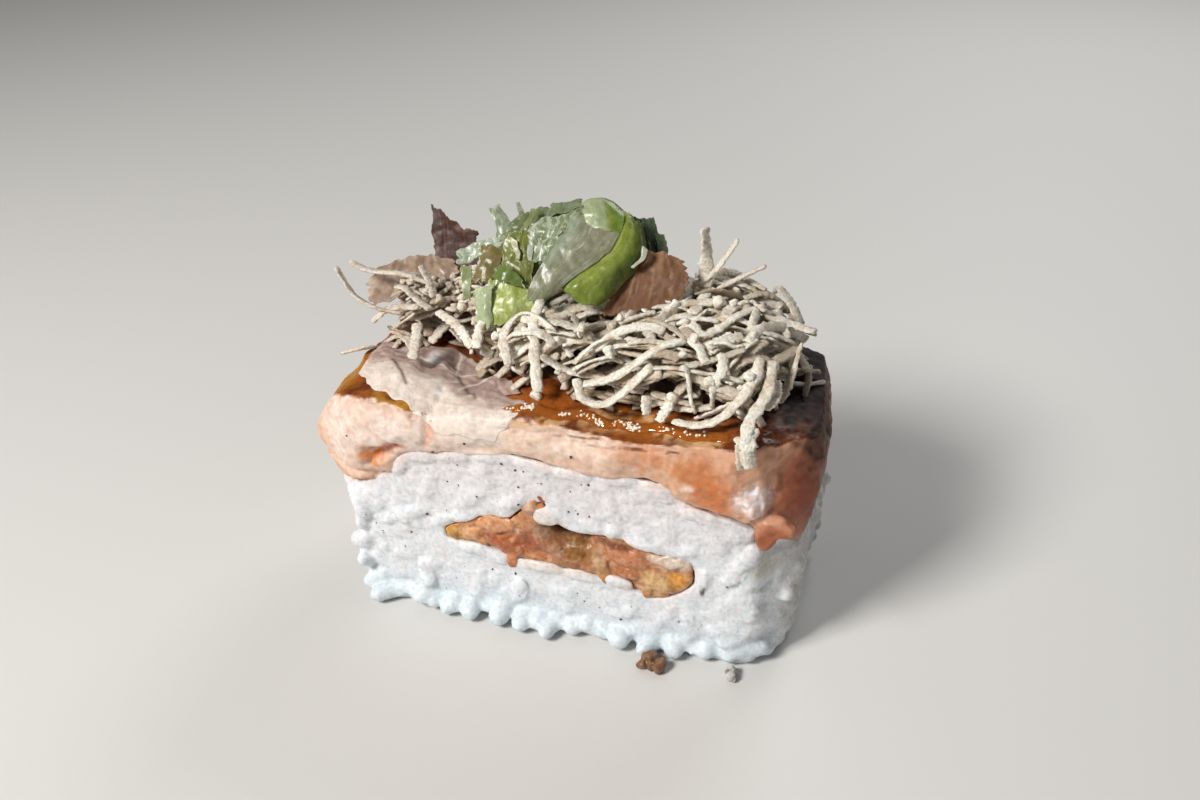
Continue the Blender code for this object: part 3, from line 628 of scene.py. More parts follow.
CHUNK_COUNT = 60
FILLING_HOLLOW = (1.7, -13.2, 15.5)
PLACED_CHUNKS = (
    ((-12.6, -12.9, 12.6), (1.8, 1.6, 1.9), 0.6),
    ((-10.2, -12.9, 13.0), (3.6, 1.8, 1.8), -0.3),
    ((-7.0, -13.1, 15.0), (4.8, 2.0, 2.4), -0.15),
    ((-6.0, -13.0, 12.2), (4.6, 1.8, 2.6), 0.35),
    ((-5.4, -12.9, 9.9), (1.6, 1.4, 2.2), 0.2),
    ((-0.9, -12.9, 20.2), (1.5, 1.6, 1.4), 0.0),
    ((-2.6, -12.9, 18.2), (1.4, 1.4, 3.2), 0.5),
    ((-1.0, -13.0, 13.6), (4.4, 2.0, 3.0), 0.3),
    ((2.0, -12.9, 11.6), (4.6, 1.8, 2.6), 0.15),
    ((5.3, -13.1, 12.4), (1.6, 1.8, 4.4), -0.7),
    ((6.0, -12.9, 9.6), (1.2, 1.4, 1.8), -0.3),
    ((8.9, -13.1, 13.6), (5.4, 2.0, 2.4), 0.2),
    ((9.2, -12.9, 11.2), (3.4, 1.8, 1.8), 0.0),
    ((14.0, -13.1, 14.0), (5.4, 1.8, 1.7), 0.05),
    ((12.6, -13.2, 10.6), (3.6, 2.0, 2.6), 0.35),
    ((11.2, -13.0, 8.9), (1.2, 1.4, 1.6), 0.1),
    ((15.0, -12.9, 11.4), (2.0, 1.6, 1.6), -0.5),
)


def make_filling():
    """The filling with chunks at its two ends and a hollow under the rice."""
    draw = random.Random(7)
    bm = copy_of_node("filling")
    low, high = (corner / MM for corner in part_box("filling"))
    tree = tree_of("filling")
    laid = 0
    while laid < CHUNK_COUNT:
        x, z = draw.uniform(low.x, high.x), draw.uniform(low.z, high.z)
        face = -1 if laid % 3 == 0 else 1
        start = Vector((x, face * 25, z)) * MM
        hit = tree.ray_cast(start, Vector((0, -face, 0)))[0]
        if hit is None:
            continue
        sizes = (draw.uniform(1.6, 4.0), draw.uniform(1.0, 1.8), draw.uniform(1.0, 1.8))
        centre = (x, hit.y / MM - face * draw.uniform(0.1, 0.6), z)
        add_chunk(bm, centre, sizes, draw.uniform(-0.6, 0.4))
        laid += 1
    for centre, sizes, turn in PLACED_CHUNKS:
        add_chunk(bm, centre, sizes, turn)
    piece = as_object("chopped_filling", bm)
    one_skin(piece, 0.22, 2)
    co = places(piece.data)
    facing = directions(piece.data)
    hollow = patch(co, FILLING_HOLLOW, (2.7, 4.0, 1.6))
    grow = 0.1 + lumps(co, 1.1, 3) * 0.2
    co = co + facing * grow[:, None]
    proud = np.minimum(co[:, 1] + 12.8, 0)
    co[:, 1] += hollow * 3.0 - proud * 0.45
    move_to(piece.data, co)
    return piece


filling = make_filling()

# %% [markdown]
# The colours follow the pieces, so they are painted on the vertices as soft patches, each
# with a place on the cut and a reach. The sauce keeps the surface wet: a low roughness that
# changes from chunk to chunk, and light that goes most of a millimetre deep.

# %% Chopped fish in sauce
FILLING_PATCHES = (
    ((-12.6, 12.6), (1.4, 1.6), "#cd9a3e"),
    ((-9.8, 13.0), (2.0, 1.4), "#e6b07f"),
    ((-6.9, 15.3), (3.4, 1.5), "#dfa376"),
    ((-8.0, 12.9), (1.4, 0.7), "#a34c20"),
    ((-6.0, 12.4), (2.6, 1.8), "#b9673b"),
    ((-4.4, 14.5), (0.5, 0.5), "#f0d3b8"),
    ((-5.3, 10.0), (0.9, 1.4), "#d98d5c"),
    ((-0.9, 20.2), (0.9, 0.9), "#a04a24"),
    ((-2.4, 18.2), (1.0, 1.2), "#e0b79c"),
    ((-2.6, 13.4), (2.0, 1.8), "#a3583a"),
    ((-1.6, 15.0), (1.3, 0.9), "#c4a080"),
    ((0.6, 12.6), (1.4, 1.2), "#b98c6c"),
    ((3.2, 13.4), (2.0, 1.9), "#8f6228"),
    ((1.8, 11.0), (2.2, 0.9), "#a8744a"),
    ((5.6, 12.0), (0.6, 2.4), "#e2bd96"),
    ((5.6, 9.8), (1.3, 1.3), "#cf9a58"),
    ((8.9, 13.7), (2.8, 1.5), "#d08a62"),
    ((9.0, 11.4), (2.0, 1.1), "#bd774c"),
    ((14.0, 14.2), (2.8, 1.2), "#e6d8ca"),
    ((12.4, 10.6), (2.0, 1.9), "#e0bb88"),
    ((15.0, 11.2), (1.3, 1.3), "#e09f48"),
)


def filling_tint(mesh):
    """Colours of the chunks at the cut face, painted shade in the hollow and under the rice's
    edge, and plain sauce brown elsewhere.
    """
    co = places(mesh)
    spread = co + shifts(co, 1.6) * 0.5
    return tinted(
        plain("#c88a5c", co),
        *cut_layers(spread, FILLING_PATCHES, -13.0, 30.0, 0.95),
        ("#8a4420", step_up(lumps(co + 9, 1.3, 3), 0.25, 0.6) * 0.4),
        ("#efcfae", step_up(lumps(co - 9, 0.8, 3), 0.25, 0.6) * 0.4),
        # Painted shade: the hollow under the rice is painted very dark brown, and a thin dark band
        # runs under the rice's edge to its right.
        ("#3c1204", patch(spread, FILLING_HOLLOW, (2.8, 30.0, 1.6))),
        ("#54200c", patch(spread, (7.6, -13.0, 15.2), (2.4, 30.0, 0.6)) * 0.7))


hollow = patch(places(filling.data), FILLING_HOLLOW, (2.6, 30.0, 1.6))
paint(filling.data, filling_tint(filling.data), 1.0 - 0.8 * hollow)
fish_in_sauce = food_material("chopped_fish_in_sauce", 0.5, "#cfc4ba", (0.2, 0.5), 0.22,
                              (1.0, 0.45, 0.22), 0.7, Subsurface_Weight=0.25, IOR=1.40,
                              Coat_Weight=0.15, Coat_Roughness=0.15)
finish(filling, fish_in_sauce, "filling", "filling")

# %% [markdown]
# ## The salmon
# The slab is raw inside and seared on top. On the cut side the flesh is pale peach with a
# deeper orange at the right, and it folds: the left end is a thick roll with an orange
# slit, and the right end hangs over the corner and shows a wet facet, painted pale and
# white-flecked as a highlight. The packed solid has this form in coarse faces. A sculpting
# brush could refine it, but here a few lobes fill out its lower edge, a fine skin is drawn
# round all of it, and folds, seams and small unevenness are pressed in by rule.

# %% The slab and its folds
def near_line(flat, start, end, width):
    """1 on the line from start to end, falling to 0 over a width, for places on a plane."""
    start, end = np.array(start), np.array(end)
    line = end - start
    share = np.clip(((flat - start) @ line) / (line @ line), 0, 1)
    apart = np.linalg.norm(flat - (start + share[:, None] * line), axis=1)
    return np.exp(-(apart / width) ** 2)


def groove(co, start, end, width):
    """How deep each place lies in a groove that runs from start to end on the cut side."""
    return near_line(co[:, [0, 2]], start, end, width) * (co[:, 1] < -9)


FOLDS = (
    ((-30.0, 20.2), (-21.5, 19.9), 0.55, 0.45),
    ((-13.4, 30.0), (-14.0, 25.6), 0.50, 0.35),
    ((-6.0, 29.4), (6.0, 30.0), 0.25, 0.22),
    ((2.0, 28.9), (15.0, 29.8), 0.25, 0.18),
    ((20.6, 25.4), (23.6, 20.6), 0.30, 0.20),
    ((24.6, 27.6), (25.0, 22.6), 0.40, 0.40),
    ((13.2, 28.2), (14.0, 24.2), 0.60, 0.15),
    ((17.0, 27.4), (20.4, 23.4), 0.80, 0.15),
    ((6.2, 29.0), (5.8, 26.0), 0.40, 0.20),
)


SALMON_LOBES = (
    ((-22.8, -11.6, 19.2), (7.4, 3.4, 2.6), 0.1),
    ((-19.4, -11.9, 20.8), (3.2, 2.6, 2.8), -0.5),
    ((-8.0, -12.9, 25.3), (9.0, 1.4, 1.6), -0.1),
    ((6.0, -12.9, 25.3), (12.0, 1.4, 1.6), 0.0),
    ((15.4, -12.5, 23.6), (5.0, 1.6, 2.2), 0.4),
    ((-15.4, -12.9, 24.9), (6.0, 1.4, 1.6), 0.1),
    ((25.2, -12.2, 20.6), (5.2, 2.2, 2.6), 0.05),
    ((24.3, -12.3, 19.2), (2.8, 2.0, 3.6), 0.2),
)


def make_salmon():
    """The slab with its folds, its slit, its facet and a rougher seared top."""
    bm = copy_of_node("salmon")
    for centre, sizes, turn in SALMON_LOBES:
        add_chunk(bm, centre, sizes, turn)
    piece = as_object("salmon_slab", bm)
    one_skin(piece, 0.28, 14)
    co = places(piece.data)
    facing = directions(piece.data)
    top = step_up(facing[:, 2], 0.35, 0.8)
    cut = step_up(-facing[:, 1], 0.3, 0.8)
    wave = lumps(co, 5.0) * 0.35 + lumps(co, 1.9, 2) * 0.13
    wave = wave + top * (lumps(co + 5, 0.9, 3) * 0.14 + lumps(co - 5, 2.4, 2) * 0.2)
    wave = wave + (1 - top) * lumps(co + 15, 0.8, 3) * 0.07
    sunk = np.zeros(len(co))
    for start, end, width, depth in FOLDS:
        sunk += groove(co + shifts(co, 2.0) * 0.35, start, end, width) * depth
    sunk += patch(co, (-20.6, -13.6, 23.5), (1.9, 3.0, 1.0)) * 0.8
    sunk += groove(co, (-22.2, 21.6), (-18.0, 24.7), 0.5) * 0.5
    sunk -= cut * groove(co + shifts(co, 1.2) * 0.5, (-22.0, 30.0), (20.0, 31.2), 0.5) * 0.22
    co = co + facing * (wave - sunk)[:, None]
    facet = patch(co, (23.0, -12.8, 24.3), (2.2, 4.0, 2.2))
    co[:, 1] -= facet * (0.1 - 0.2 * (co[:, 2] - 24.4) + lumps(co, 0.8, 2) * 0.25)
    low = (co[:, 0] > 21.5) & (co[:, 2] < 21.4) & (co[:, 1] < -11)
    co[low, 1] = np.maximum(co[low, 1], -12.9 + lumps(co[low], 1.2, 2) * 0.25)
    move_to(piece.data, co)
    return piece


salmon = make_salmon()

# %% [markdown]
# Raw salmon has a soft peach flesh with paler fat between its layers. Searing turns the top
# brown, the brushed sauce over it sets to an amber glaze, and towards the back and right it
# is painted almost black: char from the flame, deepened there by painted shade. The borders
# between these zones wander, so each zone is a soft patch whose edge a noise disturbs.

# %% Colours of the slab
CUT_PATCHES = (
    ((-25.6, 25.5), (4.5, 5.0), "#ecdace"),
    ((-17.0, 27.0), (5.5, 3.6), "#efe0d6"),
    ((-8.0, 27.6), (6.0, 3.0), "#f7e4d7"),
    ((3.0, 28.4), (7.0, 2.6), "#f3dac6"),
    ((0.0, 26.2), (7.0, 1.2), "#edcbb4"),
    ((11.8, 28.0), (3.4, 2.2), "#dc9a6d"),
    ((16.4, 27.0), (3.2, 2.4), "#d08550"),
    ((18.8, 24.4), (2.4, 2.6), "#d67c42"),
    ((13.0, 25.6), (2.6, 1.2), "#e8b792"),
    ((15.9, 25.4), (0.8, 0.8), "#f3e2d3"),
    ((-13.6, 27.8), (0.6, 2.4), "#e2a891"),
    ((-24.5, 18.2), (5.4, 0.9), "#e39a70"),
    ((-29.4, 22.0), (1.4, 4.0), "#e9b897"),
    ((-20.9, 23.4), (1.5, 1.1), "#d8741c"),
    ((-19.0, 24.6), (1.6, 0.6), "#c4500f"),
    ((-21.8, 22.2), (0.8, 0.9), "#dd8a42"),
)
FACET = ((22.9, -12.8, 24.4), (2.0, 2.6, 2.0))
SIDE_PATCHES = (
    ((26.5, -9.5, 24.5), (2.6, 3.0, 5.0), "#bb6036"),
    # The right side: deeper flesh, darkened further as painted shade.
    ((28.5, -4.0, 22.0), (3.0, 9.0, 8.0), "#80402a"),
    ((25.0, -12.6, 19.4), (3.4, 3.0, 2.2), "#9f5532"),
    # The facet's pale pinkish white is a painted highlight.
    (*FACET, "#f6e0da"),
    # Painted shade: a dark line in the crease beside the facet.
    ((25.0, -12.2, 25.4), (0.35, 2.4, 1.8), "#8d4728"),
    ((-29.0, 0.0, 24.0), (3.0, 12.0, 6.0), "#dfae90"),
)
SEARED_PATCHES = (
    ((-26.5, -8.0, 30.2), (3.2, 5.0, 3.0), "#c58418"),
    ((-22.0, -3.0, 31.0), (5.0, 4.0, 3.0), "#8a4a1c"),
    ((-18.6, -11.2, 31.2), (1.3, 1.0, 2.0), "#b9781f"),
    ((-17.0, -13.2, 30.2), (4.6, 0.7, 1.0), "#be8a35"),
    ((-7.0, -11.5, 31.4), (4.0, 2.6, 2.5), "#b06a22"),
    ((-0.5, -11.0, 31.4), (4.0, 2.4, 2.5), "#a3591c"),
    ((3.8, -11.2, 31.2), (1.8, 0.9, 2.0), "#651f0c"),
    ((9.0, -10.5, 31.2), (5.0, 2.6, 2.5), "#aa6220"),
    ((16.5, -10.5, 31.2), (3.5, 2.6, 2.5), "#a8652f"),
    ((22.5, -9.5, 30.8), (3.2, 3.0, 3.0), "#7d4020"),
)


def searing(mesh):
    """How far each vertex is seared, and how far it is painted black, for char and for shade
    towards the back right.
    """
    co = places(mesh)
    up = directions(mesh)[:, 2]
    seared = step_up(up + lumps(co, 1.6, 3) * 0.22, 0.42, 0.72)
    seared *= step_up(co[:, 2] + lumps(co + 4, 1.2, 2) * 0.5, 28.2, 29.6)
    end = step_up(co[:, 0] + co[:, 1] * 0.15 + lumps(co + 11, 1.6, 3) * 2.0, 24.0, 27.0)
    end *= step_up(co[:, 2] + lumps(co + 4, 1.3, 3) * 2.4, 24.5, 28.5)
    seared = np.maximum(seared, end * 0.85)
    # Black towards the back right: char, deepened by painted shade.
    char_and_shade = step_up(co[:, 0] * 0.6 + co[:, 1] * 0.9 + lumps(co, 1.8, 2) * 3, 3.0, 13.0)
    spots = step_up(lumps(co + 6, 0.6, 2), 0.3, 0.5) * step_up(co[:, 0], 12, 22)
    return seared, np.maximum(char_and_shade, spots * step_up(up, 0.1, 0.5))


def crust_line(co):
    """How much of the thin dry line of sauce along the top front edge each place has."""
    waved = co + shifts(co, 2.5) * 0.5
    line = groove(waved, (-9.0, 30.2), (3.0, 30.9), 0.3)
    return np.maximum(line, groove(waved, (3.0, 30.9), (19.0, 30.6), 0.3)) * 0.8


def salmon_tint(mesh):
    """Colours of the raw cut, the sides and the seared and glazed top, with painted shade on the
    right side and in a crease there, and a painted highlight on the facet.
    """
    co = places(mesh)
    spread = co + shifts(co, 2.4) * 0.8 + shifts(co + 7, 0.8) * 0.25
    left = 0.35 * step_up(-co[:, 0], -12, -4)
    right = step_up(co[:, 0], 10, 22)
    fat = np.abs(lumps(co * np.array((1.3, 0.4, 0.5)) + 3, 2.6))
    raw = tinted(
        plain("#e9c4ab", co),
        ("#d08a5c", step_up(co[:, 0], 6, 24) * 0.5),
        *cut_layers(spread, CUT_PATCHES, -14.0, 7.0, 0.9),
        ("#faeee4", step_up(lumps(co + 15, 0.9, 3), 0.1, 0.5) * left),
        ("#cf9676", step_up(lumps(co + 25, 1.2, 3), 0.15, 0.5) * 0.35),
        ("#8f4a2a", step_up(lumps(co + 33, 1.0, 3), 0.1, 0.5) * right * 0.3),
        ("#e9b08a", step_up(lumps(co - 33, 0.8, 3), 0.15, 0.5) * right * 0.35),
        ("#dfb096", step_up(co[:, 1], -6, 2) * 0.7),
        *patch_layers(spread, SIDE_PATCHES),
        # Painted highlight: white flecks on the wet facet.
        ("#ffffff", patch(co, *FACET) * step_up(lumps(co, 0.5, 2), 0.0, 0.3)),
        ("#f7e7da", step_up(-fat, -0.12, 0.0) * 0.2 * (co[:, 0] < 16)))
    seared, char_and_shade = searing(mesh)
    top = tinted(
        plain("#6a3417", co),
        ("#8f5020", step_up(lumps(co + 2, 3.0, 3), -0.2, 0.4)),
        *patch_layers(spread, SEARED_PATCHES),
        ("#22110a", char_and_shade * 0.95))
    return tinted(
        raw + (top - raw) * seared[:, None],
        ("#140a06", char_and_shade * seared * step_up(lumps(co, 0.9, 2), 0.1, 0.4)),
        ("#e6bd8c", crust_line(co) * step_up(lumps(co, 0.8, 2), -0.4, 0.1)))


def salmon_wetness(mesh):
    """Wet on the glaze and the facet, moist on the cut, and dull where char and painted shade make
    it black.
    """
    co = places(mesh)
    seared, char_and_shade = searing(mesh)
    wet = 0.72 + 0.28 * np.maximum(seared, patch(co, *FACET))
    return wet - 0.9 * char_and_shade * seared


paint(salmon.data, salmon_tint(salmon.data), salmon_wetness(salmon.data))
seared_salmon = food_material("seared_salmon", 0.7, "#ebe3dd", (0.15, 0.4), 0.14,
                              (1.0, 0.42, 0.25), 1.0, Subsurface_Weight=0.28, IOR=1.38)
finish(salmon, seared_salmon, "salmon", "salmon")

# %% [markdown]
# ## The heap of crisp shreds
# Thin strips are fried until they are dry, rough and pale. They lie on one another like
# pick-up sticks, with dark gaps between. A physics run could drop them, but a height map
# does the same job faster: each new shred is bent along its own path, laid over what is
# already there, kept stiff over the gaps, and then raises the map for the next. A shred
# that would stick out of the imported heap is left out, so the heap keeps its form.

# %% A map of heights
CELL = 0.4
LOW_X, LOW_Y = -34.0, -19.0
MAP_SIZE = (170, 95)


def heights_over(tree, missing):
    """Heights of a surface seen from above, over a grid of cells."""
    heights = np.full(MAP_SIZE, missing)
    for i in range(MAP_SIZE[0]):
        for j in range(MAP_SIZE[1]):
            above = Vector((LOW_X + i * CELL, LOW_Y + j * CELL, 80)) * MM
            hit = tree.ray_cast(above, Vector((0, 0, -1)))[0]
            if hit:
                heights[i, j] = hit.z / MM
    return heights


def spread_up(heights, cells):
    """A map in which each cell has the highest value within some cells of it."""
    best = heights.copy()
    for i in range(-cells, cells + 1):
        for j in range(-cells, cells + 1):
            best = np.maximum(best, np.roll(heights, (i, j), (0, 1)))
    return best


def read_map(heights, points):
    """The map's values under points."""
    i = np.clip(((points[:, 0] - LOW_X) / CELL + 0.5).astype(int), 0, MAP_SIZE[0] - 1)
    j = np.clip(((points[:, 1] - LOW_Y) / CELL + 0.5).astype(int), 0, MAP_SIZE[1] - 1)
    return heights[i, j]


def raise_map(heights, points, rise):
    """Raises the map where a shred now lies, about one cell to each side of its line."""
    for x, y, z in points:
        i, j = int((x - LOW_X) / CELL + 0.5), int((y - LOW_Y) / CELL + 0.5)
        near = heights[i - 1:i + 2, j - 1:j + 2]
        np.maximum(near, z + rise / 2, out=near)


# %% One shred
SIDES = 6
RINGS = 22
STEP = 0.45
PASSES, FREE_PASSES = 46, 7
RAGGED = 0.45


def straight_shred():
    """A straight six-sided strip one unit long, closed at both ends."""
    bm = bmesh.new()
    turn = Matrix.Rotation(math.radians(90), 4, "Y")
    bmesh.ops.create_circle(bm, segments=SIDES, radius=1.0, matrix=turn, cap_ends=True)
    edges = bm.edges[:]
    for _ in range(RINGS):
        made = bmesh.ops.extrude_edge_only(bm, edges=edges)["geom"]
        verts = {item for item in made if isinstance(item, bmesh.types.BMVert)}
        edges = [item for item in made if isinstance(item, bmesh.types.BMEdge)
                 and all(vert in verts for vert in item.verts)]
        bmesh.ops.translate(bm, vec=(1 / RINGS, 0, 0), verts=list(verts))
    bmesh.ops.contextual_create(bm, geom=edges)
    bmesh.ops.recalc_face_normals(bm, faces=bm.faces)
    mesh = bpy.data.meshes.new("straight_shred")
    bm.to_mesh(mesh)
    bm.free()
    return mesh


def through(points, share):
    """The place at a share of the smooth line that runs through some points."""
    at = share * (len(points) - 1)
    i = min(max(int(at), 0), len(points) - 2)
    t = at - i
    b, c = points[i], points[i + 1]
    a = points[i - 1] if i else 2 * b - c
    d = points[i + 2] if i + 2 < len(points) else 2 * c - b
    return 0.5 * (2 * b + (c - a) * t + (2 * a - 5 * b + 4 * c - d) * t ** 2
                  + (3 * b - a - 3 * c + d) * t ** 3)


def stiff_over(rest):
    """Heights of a stiff strip that lies over these heights, bridging the gaps."""
    z = rest.copy()
    for turn in range(PASSES):
        middle = (np.roll(z, 1) + np.roll(z, -1)) / 2
        middle[0], middle[-1] = z[0], z[-1]
        z = middle if turn >= PASSES - FREE_PASSES else np.maximum(rest, middle)
    return z


def add_shred(bm, straight, unbent, points, width, thickness, roll):
    """Bends a copy of the straight shred along the points, twisted, with ragged edges."""
    length = np.cumsum(np.linalg.norm(np.diff(points, axis=0, prepend=points[:1]), axis=1))
    even = np.linspace(0, length[-1], RINGS + 1)
    line = np.column_stack([np.interp(even, length, points[:, axis]) for axis in range(3)])
    ahead = np.gradient(line, axis=0)
    ahead /= np.linalg.norm(ahead, axis=1)[:, None]
    side = np.cross((0.1, 0.07, 1.0), ahead)
    side /= np.linalg.norm(side, axis=1)[:, None]
    over = np.cross(ahead, side)
    twist = (roll * (0.4 + even / 6))[:, None]
    side, over = (side * np.cos(twist) + over * np.sin(twist),
                  over * np.cos(twist) - side * np.sin(twist))
    end = np.minimum(even, length[-1] - even)
    taper = np.minimum(1.0, 0.8 + 0.5 * end)
    ring = np.rint(unbent[:, 0] * RINGS).astype(int)
    boxy = np.sign(unbent) * np.abs(unbent) ** 0.6
    ragged = 1 + RAGGED * lumps(line[ring] + side[ring] * unbent[:, 1:2] * 40, 0.5, 2)
    across = boxy[:, 1] * width / 2 * taper[ring] * ragged
    upward = boxy[:, 2] * thickness / 2 * taper[ring]
    bent = line[ring] + side[ring] * across[:, None] + over[ring] * upward[:, None]
    straight.vertices.foreach_set("co", (bent * MM).ravel())
    bm.from_mesh(straight)


# %% Shreds that can be told apart in the photo, each with its width in mm
SEEN_SHREDS = (
    (1.7, (12.8, 7, 45.6), (13.2, 6.4, 42.0), (13.4, 5.0, 38.0)),
    (1.2, (16.6, 7, 44.6), (14.6, 6.2, 41.4), (12.0, 5.0, 38.4)),
    (1.2, (19.8, 7, 41.7), (17.2, 6.6, 40.2), (14.4, 5.4, 38.3)),
    (1.2, (21.4, 7, 39.3), (22.9, 6.2, 37.9), (24.3, 5.4, 35.8)),
    (1.2, (20.3, 1.8, 37.2), (21.9, 3.6, 36.6), (23.4, 5.6, 35.2)),
    (1.2, (23.6, 6.6, 34.7), (24.6, 7.9, 33.6), (25.4, 9.4, 32.4)),
    (1.2, (26.4, 1.0, 37.5), (23.9, 2.2, 37.2), (20.8, 2.4, 36.6)),
    (1.2, (20.3, -4.4, 35.6), (20.7, -2.3, 36.3), (22.2, 0.7, 36.3), (25.2, 3.8, 34.8)),
    (1.2, (13.8, -5.7, 37.3), (11, -7.7, 36.6), (7, -10, 35.3), (4, -10.8, 34.7)),
    (1.2, (3.1, -10.5, 35), (4.1, -11.7, 33.5), (6.2, -11.9, 33.1), (8.3, -11.1, 33.8),
     (11.1, -9, 35.5)),
    (1.2, (14.4, -5.9, 37), (15.6, -7.1, 35.9), (16.7, -8.3, 34.3)),
    (1.2, (14.3, -9.3, 34.3), (15.2, -9.7, 33.5), (15.9, -10.1, 32.5)),
    (1.2, (10.7, -10.5, 34.1), (11.1, -11.6, 32.4)),
    (1.2, (13.3, -10.3, 33.6), (12.9, -11.4, 32.8), (12.5, -12.1, 32.1)),
    (1.2, (13.9, -11.7, 32.2), (17.3, -11.9, 32.1), (20.4, -10, 32.3), (21.6, -7.4, 32.8),
     (21.8, -5.5, 34.1)),
    (1.4, (22.9, -5.0, 34.8), (23.0, -8.0, 34.3), (22.2, -11.0, 33.7), (21.9, -13.5, 32.8),
     (22.2, -15.2, 30.6)),
    (1.6, (22.4, -12.4, 33.2), (22.4, -14.4, 31.9), (22.8, -15.2, 30.3)),
    (1.3, (21.4, -13.4, 32.6), (21.7, -14.7, 31.6), (21.9, -15.3, 30.0)),
    (1.1, (23.6, -6.0, 35.2), (23.9, -7.4, 34.0), (23.2, -9.0, 33.4)),
    (1.2, (18, -6.9, 35.1), (18.3, -8.3, 33.6), (17.6, -9.6, 32.4)),
    (1.2, (16.3, -5.9, 36.4), (18.2, -5.4, 36.1), (19.8, -4.9, 35.6)),
    (1.2, (10.1, -1.1, 39.0), (12.7, 0.4, 39.4), (16.4, 2.1, 38.6)),
    (1.2, (15.2, -5.5, 36.9), (17.8, -1.4, 37.8), (20, 3.2, 37.2)),
    (1.2, (-28.6, -3, 40.9), (-26.9, -3, 37.6), (-24.6, -3, 36.2), (-21.0, -2.6, 35.0)),
    (1.2, (-28.5, 0, 40.2), (-26.4, 0, 39.3), (-22.5, 0, 39.0), (-18, 0.4, 38.2)),
    (1.2, (-24.6, -3.6, 34.6), (-22.6, -2.6, 36.0), (-19, -2, 36.4)),
    (1.2, (-2.9, -4, 40.3), (-2.7, -6.9, 37.7), (-1.9, -9.4, 35.4), (-1, -11.4, 33.2)),
    (1.2, (-5, -9.7, 35.1), (-6.2, -7.3, 36.9), (-5.3, -5.4, 38.2), (-3.3, -5.8, 38.2),
     (0, -7.9, 36.8)),
    (1.2, (-9.6, -4.9, 37.5), (-9.7, -6.4, 36.6), (-9.5, -7.7, 35.4)),
    (1.2, (-5.5, -7.7, 36.6), (-2.6, -8.2, 36.4), (0.1, -8.2, 36.0)),
    (1.9, (-29.0, -4.0, 29.9), (-27.4, -4.0, 30.5), (-25.0, -3.8, 31.2)),
    (1.3, (-22.2, -1.0, 38.2), (-20.0, -1.6, 37.4), (-17.4, -2.4, 36.4)),
    (1.1, (-19.8, 1.0, 40.2), (-18.6, 0.4, 38.6), (-17.8, -0.6, 37.0)),
    (1.2, (-18.2, -4.4, 35.6), (-17.8, -6.2, 34.2), (-17.6, -7.8, 32.8)),
    (1.1, (-16.2, -3.0, 36.6), (-13.2, -4.6, 36.0), (-10.6, -6.6, 34.8)),
)

# %% [markdown]
# The tips that stand free are placed one by one, because they give the heap its outline.
# All the others come from the rule: a start inside the heap, a heading, a bend, and the
# height map. The core under them is a low rough mound that no light reaches, painted dark
# as shade.

# %% The mound and its shreds
SHRED_COUNT = 560
MOST_TRIES = 20000
CRUMB_COUNT = 130
HEAP_TOP = 39.4
STEEPEST = 0.85
FRONT = -9.6
MOUNDS = (
    ((3.6, 0.6, 31.2), (18.0, 8.0, 3.6), -6.0),
    ((-13.0, 4.0, 31.0), (5.5, 3.2, 2.2), 0.0),
)


def add_mounds(bm):
    """Low rough mounds inside the heap, for the shreds to lie on."""
    for centre, sizes, turn in MOUNDS:
        shape = Matrix.Rotation(math.radians(turn), 4, "Z") @ Matrix.Diagonal((*sizes, 1))
        place = Matrix.Translation(Vector(centre) * MM) @ shape
        made = bmesh.ops.create_uvsphere(bm, u_segments=64, v_segments=32, radius=MM,
                                         matrix=place)
        for vert in made["verts"]:
            vert.co += noise.noise_vector(vert.co / (1.2 * MM)) * 0.45 * MM


def random_path(draw, heap):
    """A bent path in plan round a spot inside the heap."""
    while True:
        x = draw.uniform(-22, -7) if draw.random() < 0.35 else draw.uniform(-7, 26)
        spot = np.array((x, draw.uniform(-12, 12)))
        if read_map(heap, spot[None])[0] > 0:
            break
    heading = draw.gauss(0.7, 0.6) if draw.random() < 0.5 else draw.uniform(0, 2 * math.pi)
    bend = draw.gauss(0, 0.025)
    path = [spot]
    length = draw.uniform(4.0, 10.5) if x > -8 else draw.uniform(2.0, 6.0)
    for _ in range(int(length / STEP)):
        heading += bend + draw.gauss(0, 0.02)
        path.append(path[-1] + STEP * np.array((math.cos(heading), math.sin(heading))))
    path = np.array(path)
    return path - (path[-1] - path[0]) / 2


def lay_by_rule(bm, draw, straight, unbent, ground, heap):
    """Shreds laid by the rule. It gives each one's tone with painted shade, from 0 for dark to 1
    for pale, darker for the first ones, low in the heap.
    """
    limit = np.minimum(spread_up(heap, 3) + 0.5, HEAP_TOP)
    tone_and_shade = []
    for _ in range(MOST_TRIES):
        if len(tone_and_shade) == SHRED_COUNT:
            break
        path = random_path(draw, heap)
        width = draw.uniform(0.75, 1.4)
        lift = draw.uniform(0.0, 2.0) if draw.random() < 0.3 else 0.0
        z = stiff_over(read_map(ground, path) + 0.25)
        points = np.column_stack([path, z + lift * np.linspace(0, 1, len(path)) ** 3])
        too_steep = np.abs(np.diff(z)).max() > STEEPEST * STEP
        off_slab = np.any(read_map(ground, points) < 20) or points[:, 1].min() < FRONT
        if too_steep or off_slab or np.any(points[:, 2] > read_map(limit, points)):
            continue
        thickness = draw.uniform(0.3, 0.42)
        add_shred(bm, straight, unbent, points, width, thickness, draw.gauss(0, 0.4))
        raise_map(ground, points, thickness * 0.8)
        # A random tone, darker for the first shreds, low in the heap: soaked sauce and painted
        # shade.
        tone_and_shade.append(draw.uniform(0.4, 1.0) * (0.5 + 0.5 * min(1.0, len(tone_and_shade) / 200)))
    return tone_and_shade


